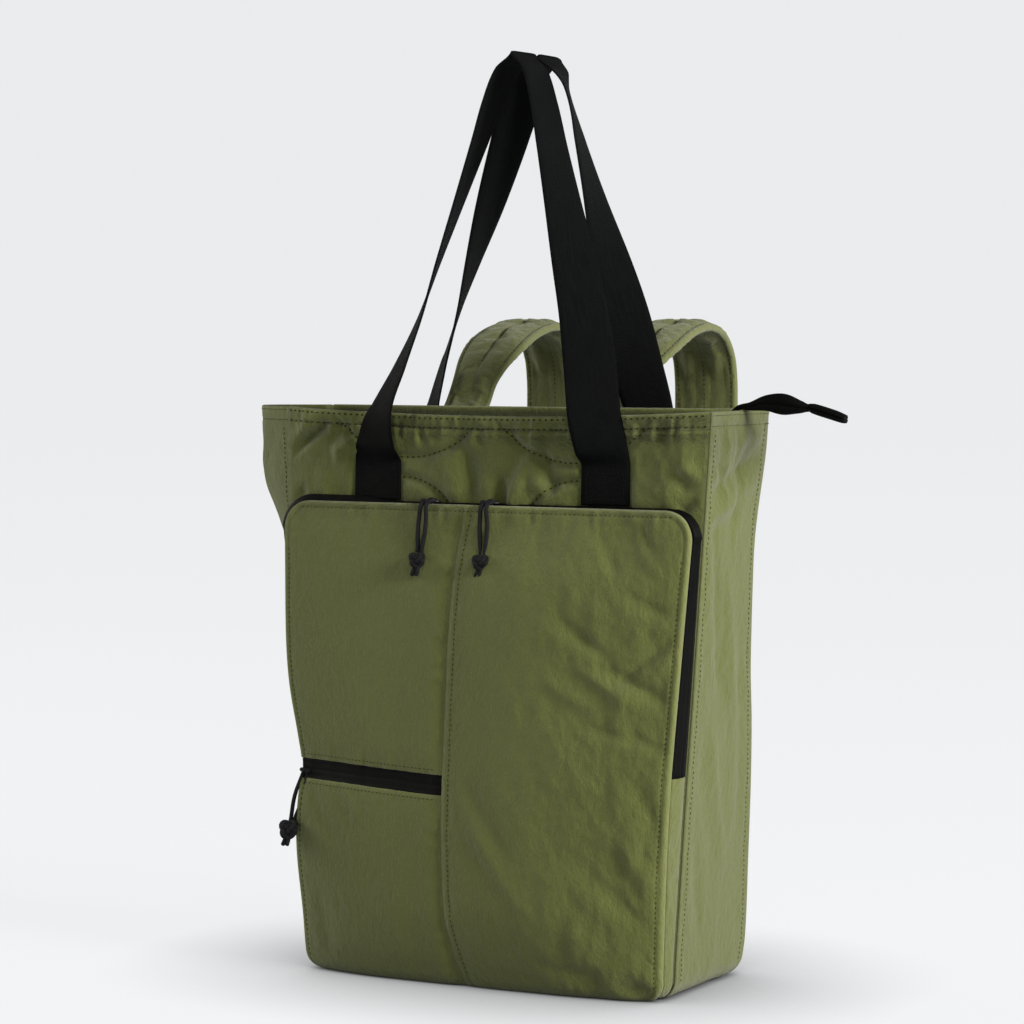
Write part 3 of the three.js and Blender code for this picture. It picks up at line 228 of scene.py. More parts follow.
class Finish:
    """A material under construction: its nodes are made by kind, and linked as they are made."""

    def __init__(self, name, colour, roughness, metallic=0.0, sheen=0.0, specular=0.5):
        self.material = bpy.data.materials.new(name)
        self.material.use_nodes = True
        self.tree = self.material.node_tree
        self.shader = self.tree.nodes["Principled BSDF"]
        self.shader.inputs["Base Color"].default_value = colour
        self.shader.inputs["Roughness"].default_value = roughness
        self.shader.inputs["Metallic"].default_value = metallic
        self.shader.inputs["Sheen Weight"].default_value = sheen
        self.shader.inputs["Specular IOR Level"].default_value = specular
        self.cloth = self.node("ShaderNodeUVMap").outputs["UV"]
        self.cloth.node.uv_map = "weave"
        self.place = self.node("ShaderNodeTexCoord").outputs["Object"]

    def feed(self, socket, value):
        """Sets a socket to a value, or links it where it is given an output."""
        if isinstance(value, bpy.types.NodeSocket):
            self.tree.links.new(value, socket)
        else:
            socket.default_value = value

    def node(self, kind, **inputs):
        """A node with its named inputs fed."""
        made = self.tree.nodes.new(kind)
        for name, value in inputs.items():
            self.feed(made.inputs[name.replace("_", " ")], value)
        return made

    def stored(self, name):
        """A number that was stored for each point of a piece."""
        made = self.node("ShaderNodeAttribute")
        made.attribute_name = name
        return made.outputs["Fac"]

    def noise(self, where, scale, detail=2.0, roughness=0.5):
        """Cloudy noise between 0 and 1, with its scale along each axis in hills a metre."""
        moved = self.node("ShaderNodeMapping", Vector=where, Scale=scale).outputs["Vector"]
        return self.node("ShaderNodeTexNoise", Vector=moved, Scale=1.0, Detail=detail,
                         Roughness=roughness).outputs["Fac"]

    def waves(self, where, scale, turn=0.0):
        """Straight even ribs across the first axis, with their number a metre, turned by an angle."""
        moved = self.node("ShaderNodeMapping", Vector=where, Rotation=(0.0, 0.0, turn),
                          Scale=(scale, scale, scale)).outputs["Vector"]
        return self.node("ShaderNodeTexWave", Vector=moved, Scale=WAVE_SCALE).outputs["Fac"]

    def math(self, what, a, b):
        """One sum, product or the like of two numbers."""
        made = self.tree.nodes.new("ShaderNodeMath")
        made.operation = what
        self.feed(made.inputs[0], a)
        self.feed(made.inputs[1], b)
        return made.outputs[0]

    def between(self, share, low, high):
        """A number moved from the range 0 to 1 to the range low to high."""
        made = self.node("ShaderNodeMapRange", Value=share, To_Min=low, To_Max=high)
        return made.outputs["Result"]

    def mix(self, share, first, second):
        """One colour laid over another by a share."""
        made = self.tree.nodes.new("ShaderNodeMix")
        made.data_type = "RGBA"
        for socket, value in ((0, share), (6, first), (7, second)):
            self.feed(made.inputs[socket], value)
        return made.outputs[2]

    def bump(self, height, distance, below=None):
        """Raises the surface by up to a distance, over an earlier bump if one is given."""
        made = self.node("ShaderNodeBump", Height=height, Distance=distance)
        if below is not None:
            self.tree.links.new(below, made.inputs["Normal"])
        return made.outputs["Normal"]

    def finish(self, colour=None, roughness=None, normal=None):
        """Links what was worked out to the shader and gives back the material."""
        for name, value in (("Base Color", colour), ("Roughness", roughness), ("Normal", normal)):
            if value is not None:
                self.tree.links.new(value, self.shader.inputs[name])
        return self.material


def braid_material():
    """Black cord: two sets of slanting ribs make the braid, and dust makes it slightly uneven."""
    made = Finish("black_cord", CORD_COLOUR, 0.75, specular=0.08)
    ribs = made.math("MAXIMUM", made.waves(made.cloth, 900.0, 0.6), made.waves(made.cloth, 900.0, -0.6))
    dust = made.noise(made.place, (300.0, 300.0, 300.0))
    colour = made.mix(dust, CORD_COLOUR, CORD_DUST)
    return made.finish(colour, made.between(dust, 0.65, 0.85), made.bump(ribs, 0.0003))


def overhand_knot(centre, size):
    """A tight knot: a trefoil curve, x = sin t + 2 sin 2t, y = cos t - 2 cos 2t, z = -sin 3t, squeezed
    until its strands touch, with two short ends of cord below it."""
    turn = np.linspace(0.0, 2.0 * np.pi, 97)[:-1]
    curve = np.stack([np.sin(turn) + 2.0 * np.sin(2.0 * turn), -1.1 * np.sin(3.0 * turn),
                      0.8 * np.cos(turn) - 1.6 * np.cos(2.0 * turn)], -1)
    curve = curve * size / 3.4
    curve = np.concatenate([curve, curve[:1]])
    knot = sweep(centre + curve, curve + [0.0, 1e-4, 0.0], circle(0.66 * size, 12))
    ends = []
    for side in (-1.0, 1.0):
        tail = np.array([(side * 0.0008, 0.0, -0.0040),
                         (side * 0.0016 - 0.0010, -0.0008, -0.0085),
                         (side * 0.0018 - 0.0024, -0.0002, -0.0112)])
        ends.append(sweep(smooth_path(centre + tail, 10), BACKWARDS, circle(STRAND_RADIUS, 10)))
    return joined([knot, *ends])


cord_finish = braid_material()
for name, route in PULLS.items():
    line = smooth_path(route, CORD_POINTS)
    share = np.linspace(0.0, 1.0, CORD_POINTS)
    apart = STRAND_RADIUS * 1.02 + STRAND_SPREAD[name] * np.sin(np.pi * share) ** 1.5
    strands = [sweep(line + np.outer(side * apart, RIGHTWARDS), BACKWARDS, circle(STRAND_RADIUS, 10))
               for side in (-1.0, 1.0)]
    hitch_turn = np.linspace(0.0, 2.0 * np.pi, 25)
    hitch = line[1] + np.stack([2.4 * STRAND_RADIUS * np.cos(hitch_turn), 1.3 * STRAND_RADIUS * np.sin(hitch_turn),
                                0.25 * STRAND_RADIUS * np.sin(2.0 * hitch_turn)], -1)
    strands.append(sweep(hitch, UPWARDS, circle(STRAND_RADIUS * 0.95, 10)))
    cord = put(f"cord_loop_{name}", *joined(strands))
    fit(cord, cord_finish, "black_cord", f"pull_cord_{name}")
    knot_low, knot_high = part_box(f"pull_knot_{name}")
    knot_middle = np.array((knot_low + knot_high) / 2) + KNOT_LIFT * UPWARDS
    knot = put(f"cord_knot_{name}", *overhand_knot(knot_middle, KNOT_SIZE[name]))
    fit(knot, cord_finish, "black_cord", f"pull_knot_{name}")
    line = slump(line)

# The shell is padded olive cloth: a slubby nylon plain weave over thin foam, 2.5 mm thick. The front wall
# shows above the pocket as a quilted yoke, with a 9.5 mm hem turned over the rim and sewn down.
BAG_HEIGHT = 0.413
RIM_WIDTH = 0.348
BASE_WIDTH = 0.303
RIM_DEPTH = 0.099
BASE_DEPTH = 0.124
CLOTH = 0.0025
SEAM_GAP = 0.0003
FRONT_EDGE_RADIUS = 0.004
BACK_EDGE_RADIUS = 0.013
FOOT_RADIUS = 0.014
RIM_SAG = 0.005
WING_FLARE = 0.037
WING_PULL = 0.031
WING_DEPTH = 0.100
RIM_FLARE = 0.0055
MOUTH_DRAW = 0.008
CORNER_SHARE = 0.08
RIM_SHARE = 0.8
OLIVE = (0.088, 0.098, 0.023, 1.0)
OLIVE_DARK = (0.059, 0.067, 0.014, 1.0)
OLIVE_WORN = (0.134, 0.145, 0.048, 1.0)
# The colour of painted shade inside the bag, along its seams and under the rim's fold
OLIVE_PAINTED_SHADE = (0.022, 0.025, 0.007, 1.0)
# Thread colours, far darker than the cloth as painted shade of the sunk stitches; the second is dustier
THREAD_PAINTED_SHADE = (0.007, 0.009, 0.003, 1.0)
THREAD_DUSTY_PAINTED_SHADE = (0.020, 0.023, 0.008, 1.0)
FRONT, RIGHT, BACK, LEFT = range(4)
# Columns: share of the height, front and back as shares of half the base depth
SIDE_PROFILE = np.array([
    (0.00, 0.97, 1.00), (0.07, 0.98, 1.08), (0.21, 0.96, 1.05), (0.34, 0.94, 1.01), (0.45, 0.91, 0.94),
    (0.56, 0.88, 0.82), (0.77, 0.84, 0.75), (0.92, 0.81, 0.79), (1.00, 0.80, 0.76)])
# Columns: x and z of both ends, width and height of the fold, all in millimetres
YOKE_FOLDS = np.array([
    (-136, 405, -176, 373, 4.0, -2.6), (-112, 391, -130, 381, 5.0, 1.6), (-170, 345, -154, 352, 5.0, -1.6),
    (-21, 386, -13, 352, 6.0, -1.6), (-7, 406, -9, 391, 4.0, -1.2), (51, 406, 42, 386, 4.5, -1.4),
    (41, 388, 52, 358, 4.5, -1.6), (29, 380, 17, 340, 5.0, 1.3), (7, 368, 12, 338, 4.5, -1.3),
    (138, 406, 136, 393, 4.0, -1.3), (153, 376, 174, 364, 5.0, 1.6), (150, 344, 167, 352, 4.5, -2.0),
    (-60, 404, -56, 392, 3.0, -0.8), (88, 404, 92, 396, 3.0, -0.8), (112, 404, 108, 394, 3.0, -0.7)])
# Columns: x and z of the middle, radius, and the two ends of the arc in degrees from +X, in millimetres
QUILT_ARCS = np.array([(-70, 455, 75, 224, 316), (67, 453, 75, 222, 318),
                       (-72, 317, 48, 38, 142), (72, 317, 48, 38, 142)])
HEM = 0.0095
EDGE_STITCH = 0.0020
SEAM_ROW = 0.035
YOKE_PUFF = 0.0034
YOKE_FOLD_GAIN = 2.8
FEET_X = 0.093
FEET_HALF = 0.019


def along(table, column, at):
    """A column of a table read at places of its first column: a cubic whose slope at a row is the rise
    between its two neighbours over their distance, and level at both ends."""
    key, value = table[:, 0], table[:, column]
    slope = np.zeros(len(key))
    slope[1:-1] = (value[2:] - value[:-2]) / (key[2:] - key[:-2])
    at = np.clip(at, key[0], key[-1])
    i = np.clip(np.searchsorted(key, at, side="right") - 1, 0, len(key) - 2)
    span = key[i + 1] - key[i]
    return cubic(value, slope, i, (at - key[i]) / span, span)


def half_width(z):
    """Half the shell's width: it widens evenly from the base to the rim."""
    return (BASE_WIDTH + (RIM_WIDTH - BASE_WIDTH) * z / BAG_HEIGHT) / 2


def depth_at(z, column):
    """How far the front or back wall stands from the middle: its profile times half the depth."""
    narrowing = 1 + (RIM_DEPTH / BASE_DEPTH / RIM_SHARE - 1) * z / BAG_HEIGHT
    return along(SIDE_PROFILE, column, z / BAG_HEIGHT) * narrowing * BASE_DEPTH / 2


def foot_inset(z):
    """How far the walls have rolled in at a height: a quarter circle at the foot."""
    below = np.maximum(0.0, FOOT_RADIUS - z)
    return FOOT_RADIUS - np.sqrt(FOOT_RADIUS**2 - below**2)


def wing(z):
    """0 below the flare of the left wall and 1 near the rim."""
    return ease(z, BAG_HEIGHT - 1.7 * WING_DEPTH, BAG_HEIGHT - 0.40 * WING_DEPTH)


def soft_noise(x, y, seed=0.0):
    """Cloudy noise from -1 to 1 with hills one unit apart: values at whole places, from the fraction of a
    large sine, blended by a smooth S."""
    x0, y0 = np.floor(x), np.floor(y)
    sx, sy = ease(x - x0, 0.0, 1.0), ease(y - y0, 0.0, 1.0)

    def value(i, j):
        wild = np.sin(i * 127.1 + j * 311.7 + seed * 74.7) * 43758.5453
        return 2.0 * (wild - np.floor(wild)) - 1.0
    low = value(x0, y0) * (1 - sx) + value(x0 + 1, y0) * sx
    high = value(x0, y0 + 1) * (1 - sx) + value(x0 + 1, y0 + 1) * sx
    return low * (1 - sy) + high * sy


def creases(x, z, rows):
    """Folds along straight lines, as a distance outwards: a bell across each line with a fainter one of
    the other sign beside it, fading at both ends."""
    total = np.zeros(np.broadcast(x, z).shape)
    for x0, z0, x1, z1, wide, high in rows / 1000.0:
        run, rise = x1 - x0, z1 - z0
        length = math.hypot(run, rise)
        share = ((x - x0) * run + (z - z0) * rise) / length**2
        off = ((x - x0) * rise - (z - z0) * run) / length
        fade = ease(share, -0.2, 0.3) * (1.0 - ease(share, 0.7, 1.2))
        total += high * fade * (ridge(off, 1.0, wide) - ridge(off - 2.2 * wide, 0.5, 1.4 * wide))
    return total


def quilting(x, z):
    """Distance from the nearest quilting arc."""
    nearest = np.full(np.broadcast(x, z).shape, 1.0)
    for middle_x, middle_z, radius, start, end in QUILT_ARCS:
        dx, dz = x * 1000.0 - middle_x, z * 1000.0 - middle_z
        angle = np.degrees(np.arctan2(dz, dx)) % 360.0
        past_end = np.maximum(0, np.maximum(start - angle, angle - end))
        off = np.abs(np.hypot(dx, dz) - radius) + 0.6 * past_end
        nearest = np.minimum(nearest, off / 1000.0)
    return nearest


def wall_corners(z):
    """x, y and radius of the shell's four corners at a height, counter-clockwise from the front left."""
    inset = foot_inset(z)
    half = half_width(z) - inset
    front = -depth_at(z, 1)
    back = depth_at(z, 2) - inset
    tight = np.full_like(z, FRONT_EDGE_RADIUS)
    wide = np.maximum(BACK_EDGE_RADIUS - inset, FRONT_EDGE_RADIUS)
    back_left = back - WING_PULL * wing(z)
    return (np.stack([-half, half, half, -half]), np.stack([front, front, back, back_left]),
            np.stack([tight, tight, wide, wide]))


def wall_place(wall, a, z, inside):
    """A place of one wall in plan and its outward direction. The wall runs from the middle of one rounded
    corner to the middle of the next: an arc, a straight line and an arc."""
    x, y, radius = (np.roll(values, -wall, axis=0) for values in wall_corners(z))
    heading = np.arctan2(y[1] - y[0], x[1] - x[0])
    turned = [heading - np.arctan2(y[0] - y[3], x[0] - x[3]),
              np.arctan2(y[2] - y[1], x[2] - x[1]) - heading]
    start_turn, end_turn = (np.arctan2(np.sin(turn), np.cos(turn)) for turn in turned)
    length = np.hypot(x[1] - x[0], y[1] - y[0])
    near = radius[0] * np.tan(start_turn / 2)
    far = length - radius[1] * np.tan(end_turn / 2)
    share = np.clip((a - CORNER_SHARE) / (1 - 2 * CORNER_SHARE), 0.0, 1.0)
    reach = near + (far - near) * share
    trim = [SEAM_GAP / 2 / (corner - CLOTH) for corner in radius[:2]]
    angle = (np.maximum(0.0, a - 1 + CORNER_SHARE) / CORNER_SHARE * (end_turn / 2 - trim[1])
             - np.maximum(0.0, CORNER_SHARE - a) / CORNER_SHARE * (start_turn / 2 - trim[0]))
    bend = np.where(a < 0.5, radius[0], radius[1])
    out = np.stack([np.sin(heading + angle), -np.cos(heading + angle)])
    flat = np.stack([np.sin(heading), -np.cos(heading)])
    place_x = x[0] + np.cos(heading) * reach + (out[0] - flat[0]) * bend - out[0] * inside
    place_y = y[0] + np.sin(heading) * reach + (out[1] - flat[1]) * bend - out[1] * inside
    return place_x, place_y, out[0] + 0 * place_x, out[1] + 0 * place_x, share


def yoke_relief(x, z):
    """How far the front wall stands out: it puffs between the rows of quilting, folds, is gathered a little
    at its hem, and lies flat under the feet of the handle."""
    puff = YOKE_PUFF * (1.0 - ridge(quilting(x, z), 1.0, 0.0040)) * ease(z, 0.336, 0.350)
    hem_line = np.abs(z - (BAG_HEIGHT - HEM))
    hem = ridge(hem_line, -0.0015, 0.0012)
    gathers = soft_noise(x / 0.0036, z / 0.02, 3.0) * ridge(hem_line - 0.003, 0.0017, 0.007)
    from_seam = half_width(z) - np.abs(x)
    seam = (ridge(from_seam, -0.0016, 0.0022)
            + soft_noise(z / 0.005, x / 0.03, 4.0) * ridge(from_seam - 0.006, 0.0010, 0.007))
    crinkle = 0.0015 * soft_noise(x / 0.014, z / 0.021, 5.0) + 0.0006 * soft_noise(x / 0.0055, z / 0.008, 6.0)
    from_feet = np.abs(x) - FEET_X
    free = ease(np.abs(from_feet), FEET_HALF - 0.002, FEET_HALF + 0.006)
    free = np.maximum(free, ease(z, 0.374, 0.384))
    calmed = 1.0 - ridge(from_feet, 0.75, 0.020)
    return free * calmed * (puff + YOKE_FOLD_GAIN * creases(x, z, YOKE_FOLDS) + crinkle) + hem + gathers + seam


# Columns as the yoke's folds, with a share of a hundred across the wall in place of x
GUSSET_FOLDS = np.array([
    (18, 330, 46, 210, 7.0, -2.0), (52, 300, 70, 190, 8.0, 1.7), (30, 190, 58, 90, 8.0, 1.8),
    (70, 400, 52, 330, 6.0, -1.8), (28, 405, 34, 350, 5.0, 1.4), (12, 120, 30, 40, 6.0, -1.4),
    (80, 250, 84, 120, 6.0, -1.4), (44, 396, 50, 372, 3.5, -1.2), (10, 380, 26, 368, 3.5, -1.6),
    (4, 354, 88, 380, 6.0, -3.0), (30, 388, 92, 398, 8.0, 2.4), (8, 338, 60, 350, 5.0, 1.6)])
# The left gusset keeps the long folds and has weaker ones near its flared rim
WING_FOLDS = np.array([
    (18, 330, 46, 210, 7.0, -2.0), (52, 300, 70, 190, 8.0, 1.7), (30, 190, 58, 90, 8.0, 1.8),
    (22, 408, 46, 335, 6.0, 1.4), (62, 410, 52, 340, 7.0, -1.5), (88, 402, 76, 345, 6.0, 1.2),
    (10, 392, 30, 372, 4.0, -0.9), (70, 372, 92, 350, 5.0, -1.0)])


def drawn_in(share, z):
    """How far the back panel is drawn in towards the mouth, most in the middle of its rim."""
    return MOUTH_DRAW * 4 * share * (1 - share) * ease(z / BAG_HEIGHT, 0.5, 1)


def wall_relief(wall, share, x, z):
    """How far each wall stands out from its plain form: by its folds, its crinkles, the groove of its hem,
    the puckers of its seams, and the flare of the rim at the two rear corners and the left gusset."""
    middle = 4 * share * (1 - share)
    if wall == FRONT:
        return yoke_relief(x, z) * np.minimum(1.0, 6 * middle)
    across = share if wall == RIGHT else 1 - share
    crinkle = 0.0006 * soft_noise(across * 6, z / 0.026, 8.0) + 0.0003 * soft_noise(across * 15, z / 0.011, 9.0)
    hem = ridge(z - (BAG_HEIGHT - HEM), -0.0008, 0.0011)
    within = np.minimum(1.0, 8 * middle)
    corner = RIM_FLARE * ease(z, BAG_HEIGHT - 1.1 * WING_DEPTH, BAG_HEIGHT + 0.1 * WING_DEPTH)
    if wall == BACK:
        return corner * (1 - ease(share, 0.0, 0.12)) + (crinkle + hem) * within - drawn_in(share, z)
    from_seam = np.minimum(share, 1 - share) * BASE_DEPTH
    pucker = (soft_noise(z / 0.0055, share, 7.0) * ridge(from_seam, 0.0009, 0.006)
              + ridge(from_seam, -0.0012, 0.0022))
    rows = GUSSET_FOLDS if wall == RIGHT else WING_FOLDS
    folds = creases(across * 0.1, z, rows) * np.minimum(1.0, 3 * middle)
    flare = WING_FLARE * middle * wing(z) if wall == LEFT else corner * ease(share, 0.1, 1.0)
    return folds + (crinkle + hem + pucker) * within + flare


def wall_surface(wall, a, z, inside=0.0):
    """Points of a wall, inside by so much. Where the foot rolls under, its inner face lies above."""
    a, z = np.broadcast_arrays(np.asarray(a, float), np.asarray(z, float))
    upright = (wall == FRONT) & (np.minimum(a, 1 - a) > CORNER_SHARE)
    under = np.where(upright, 0.0, np.clip(1 - z / FOOT_RADIUS, 0.0, 1.0))
    x, y, out_x, out_y, share = wall_place(wall, a, z, inside * np.sqrt(1 - under**2))
    relief = wall_relief(wall, share, x, z)
    sag = RIM_SAG * 4 * share * (1 - share) * (z / BAG_HEIGHT)**8 if wall == FRONT else 0.0
    return np.stack([x + out_x * relief, y + out_y * relief, z - sag + inside * under], -1)


def cloth_wall(outer, inner, bulge=0.0008):
    """A closed piece of cloth between two grids of points. Round its border runs a third line of points,
    midway through the cloth and pushed outwards, so that the edge looks rolled."""
    rows, columns = outer.shape[:2]
    index = np.arange(rows * columns).reshape(rows, columns)
    quads = np.stack([index[:-1, :-1], index[:-1, 1:], index[1:, 1:], index[1:, :-1]], -1)
    quads = quads.reshape(-1, 4)
    ring = np.concatenate([index[0, :-1], index[:-1, -1], index[-1, :0:-1], index[:0:-1, 0]])
    inwards = np.concatenate([index[1, :-1], index[:-1, -2], index[-2, :0:-1], index[:0:-1, 1]])
    flat_outer, flat_inner = outer.reshape(-1, 3), inner.reshape(-1, 3)
    away = unit(flat_outer[ring] - flat_outer[inwards])
    border = (flat_outer[ring] + flat_inner[ring]) / 2 + bulge * away
    count = rows * columns
    loop = 2 * count + np.arange(len(ring))
    after = np.roll(loop, -1)
    edge_outer = np.stack([ring, loop, after, np.roll(ring, -1)], -1)
    edge_inner = np.stack([loop, ring + count, np.roll(ring, -1) + count, after], -1)
    points = np.concatenate([flat_outer, flat_inner, border])
    across = np.linalg.norm(np.diff(outer, axis=1), axis=2)
    upwards = np.linalg.norm(np.diff(outer, axis=0), axis=2)
    u = np.concatenate([np.zeros((rows, 1)), np.cumsum(across, axis=1)], axis=1)
    v = np.concatenate([np.zeros((1, columns)), np.cumsum(upwards, axis=0)], axis=0)
    uv = np.stack([u, v], -1).reshape(-1, 2)
    faces = [quads, quads[:, ::-1] + count, edge_outer, edge_inner]
    return points, faces, np.concatenate([uv, uv, uv[ring]])


def store(made, name, values):
    """Stores one number for each point of a piece, for its material to read."""
    layer = made.data.attributes.new(name, "FLOAT", "POINT")
    layer.data.foreach_set("value", np.asarray(values, np.float32).ravel())


def wear_near_edges(made, distance):
    """Stores how worn each point is, from 0 to 1: most where the cloth is bent over an edge."""
    store(made, "wear", np.exp(-np.asarray(distance, float)))


def grain(centre, ahead, side, up, long, thick, sunk=0.5):
    """The six corners of each stitch: an eight-sided grain, pointed along the thread, half in the cloth."""
    return np.stack([centre - ahead * long / 2, centre + side * thick / 2, centre + ahead * long / 2,
                     centre - side * thick / 2, centre + up * thick * 0.8, centre - up * thick * sunk], 1)


def sewn(name, grains, material, slot):
    """Makes one piece of many grains."""
    sides = np.array([(0, 1, 4), (1, 2, 4), (2, 3, 4), (3, 0, 4), (1, 0, 5), (2, 1, 5), (3, 2, 5), (0, 3, 5)])
    faces = (np.arange(len(grains))[:, None, None] * 6 + sides[None]).reshape(-1, 3)
    return fit(put(name, grains, faces, np.zeros((len(grains) * 6, 2))), material, slot)


def stitches(name, surface, rows, material, slot, pitch=0.0036, long=0.0024, thick=0.0008):
    """A row of sewn stitches on each line of a surface, lying in it and spaced evenly by the pitch."""
    grains = []
    for u, v in rows:
        line = surface(u, v)
        out = unit(np.cross(surface(u + 2e-4, v) - line, surface(u, v + 2e-4) - line))
        reach = np.concatenate([[0.0], np.cumsum(np.linalg.norm(np.diff(line, axis=0), axis=1))])
        at = np.arange(pitch / 2, reach[-1], pitch)

        def pick(values, where):
            return np.stack([np.interp(where, reach, values[:, k]) for k in range(3)], -1)
        centre, up = pick(line, at), unit(pick(out, at))
        ahead = unit(pick(line, at + 2e-4) - pick(line, at - 2e-4))
        grains.append(grain(centre, ahead, np.cross(ahead, up), up, long, thick))
    return sewn(name, np.concatenate(grains), material, slot)


def olive_material(name="olive_cloth", base=OLIVE, dark=OLIVE_DARK, worn=OLIVE_WORN, scale=1.0,
                   rumple=0.0015):
    """Olive cloth: an uneven weave of thick and thin threads, washed lighter along its worn edges, with
    painted shade inside the bag, along its seams and under the rim, where its stored inside number is high."""
    made = Finish(name, base, 0.9, sheen=0.17, specular=0.15)
    slubs = made.noise(made.cloth, (1200.0 * scale, 330.0 * scale, 1.0), 3.0)
    clouds = made.noise(made.place, (14.0, 14.0, 9.0), 3.0)
    crinkle = made.noise(made.cloth, (190.0, 110.0, 1.0), 4.0, 0.6)
    warp = made.waves(made.cloth, 1700.0)
    weft = made.waves(made.cloth, 1500.0, math.pi / 2)
    colour = made.mix(made.between(slubs, 0.15, 1.0), dark, base)
    colour = made.mix(made.math("MULTIPLY", clouds, 0.35), colour, dark)
    worn_share = made.math("MULTIPLY", made.stored("wear"), made.between(crinkle, 0.35, 0.95))
    colour = made.mix(made.math("MULTIPLY", worn_share, 0.75), colour, worn)
    # Painted shade: the stored inside number darkens the cloth to a deep olive inside the bag, along its seams and
    # under the rim
    colour = made.mix(made.math("MULTIPLY", made.stored("inside"), 0.8), colour, OLIVE_PAINTED_SHADE)
    weave = made.bump(made.math("ADD", warp, weft), 0.00012)
    slubbed = made.bump(slubs, 0.0004, weave)
    normal = made.bump(crinkle, rumple, slubbed)
    return made.finish(colour, made.between(clouds, 0.80, 0.95), normal)


def thread_material():
    """Sewing thread, pulled down into the cloth: its near-black colour is partly the thread's own and partly painted
    shade of the sunk stitches, and dust makes it uneven.
    """
    made = Finish("thread", THREAD_PAINTED_SHADE, 0.8, specular=0.05)
    dust = made.noise(made.place, (400.0, 400.0, 400.0))
    return made.finish(made.mix(dust, THREAD_PAINTED_SHADE, THREAD_DUSTY_PAINTED_SHADE))


olive = olive_material()
thread = thread_material()


def columns_between(fine, corner=5):
    """Shares across a wall: a few in each rounded corner and even ones between."""
    return np.concatenate([np.linspace(0, CORNER_SHARE, corner)[:-1],
                           np.linspace(CORNER_SHARE, 1 - CORNER_SHARE, fine),
                           np.linspace(1 - CORNER_SHARE, 1, corner)[1:]])


def shell_wall(name, wall, heights, columns):
    """One wall of the shell as a piece of cloth. Its outer face wears within 4 mm of its edges, and has
    painted shade along its seams and, on the right, under the rim's fold. Its inner face, but for the top 4 mm, and
    its cut edge have painted shade all over."""
    a, z = np.meshgrid(columns_between(columns), heights)
    outer, inner = wall_surface(wall, a, z), wall_surface(wall, a, z, CLOTH)
    made = put(name, *cloth_wall(outer, inner))
    near = np.minimum(np.minimum(a, 1 - a) * 0.12, BAG_HEIGHT - z) / 0.004
    border = np.zeros(len(made.data.vertices) - 2 * near.size)
    wear_near_edges(made, np.concatenate([near.ravel(), near.ravel() + 1.0, border]))
    seam_painted_shade = ridge(np.minimum(a, 1 - a) * 0.039, 1.0, 0.0011)
    rim_painted_shade = 0.50 * ease(z, 0.335, 0.400) if wall == RIGHT else 0.0
    inner_painted_shade = ease(BAG_HEIGHT - z, 0.0, 0.004).ravel()
    outer_painted_shade = np.maximum(seam_painted_shade, rim_painted_shade).ravel()
    # The stored inside number is painted shade: on the seams and the right gusset's top outside, on the inner face
    # and on the cut edge
    store(made, "inside", np.concatenate([outer_painted_shade, inner_painted_shade, border + 1.0]))
    return fit(made, olive, "olive_cloth", name.replace("_cloth", ""))


BASE_TOP = CLOTH + SEAM_GAP
FRONT_ROWS = np.concatenate([np.linspace(BASE_TOP, 0.330, 34), np.linspace(0.3345, BAG_HEIGHT, 98)])
shell_wall("front_panel_cloth", FRONT, FRONT_ROWS, 250)


def front_share(x):
    """The share across the front wall of a place x at the rim, near enough for a stitch."""
    half = RIM_WIDTH / 2 - FRONT_EDGE_RADIUS
    return CORNER_SHARE + (1 - 2 * CORNER_SHARE) * (x + half) / (2 * half)


hem_at = np.linspace(0.03, 0.97, 300)
hem_rows = [(hem_at, np.full_like(hem_at, BAG_HEIGHT - below)) for below in (HEM, EDGE_STITCH)]
yoke_rows = []
for middle_x, middle_z, radius, start, end in QUILT_ARCS:
    angle = np.radians(np.linspace(start, end, 120))
    yoke_rows.append((front_share((middle_x + radius * np.cos(angle)) / 1000.0),
                      (middle_z + radius * np.sin(angle)) / 1000.0))
stitches("yoke_stitches", lambda u, v: wall_surface(FRONT, u, v), yoke_rows + hem_rows, thread, "olive_cloth",
         pitch=0.0046, long=0.0026, thick=0.0014)

# The two gussets and the back are the same cloth. The right gusset shows in full, with soft long folds,
# a seam pulled in at its front edge and a rolled foot. The left one flares out at the rim.
SIDE_ROWS = np.concatenate([np.linspace(0.0, FOOT_RADIUS, 8)[:-1], np.linspace(FOOT_RADIUS, 0.385, 150),
                            np.linspace(0.387, BAG_HEIGHT, 28)])
shell_wall("gusset_right_cloth", RIGHT, SIDE_ROWS, 76)
shell_wall("gusset_left_cloth", LEFT, SIDE_ROWS, 60)
shell_wall("back_panel_cloth", BACK, SIDE_ROWS, 120)
rise = np.linspace(0.012, 0.400, 500)
seam_rows = [(np.full_like(rise, at), rise) for at in (CORNER_SHARE + SEAM_ROW, 1 - CORNER_SHARE - SEAM_ROW)]
for name, wall in (("right", RIGHT), ("left", LEFT), ("back", BACK)):
    stitches(f"{name}_stitches", lambda u, v, wall=wall: wall_surface(wall, u, v), hem_rows + seam_rows,
             thread, "olive_cloth")

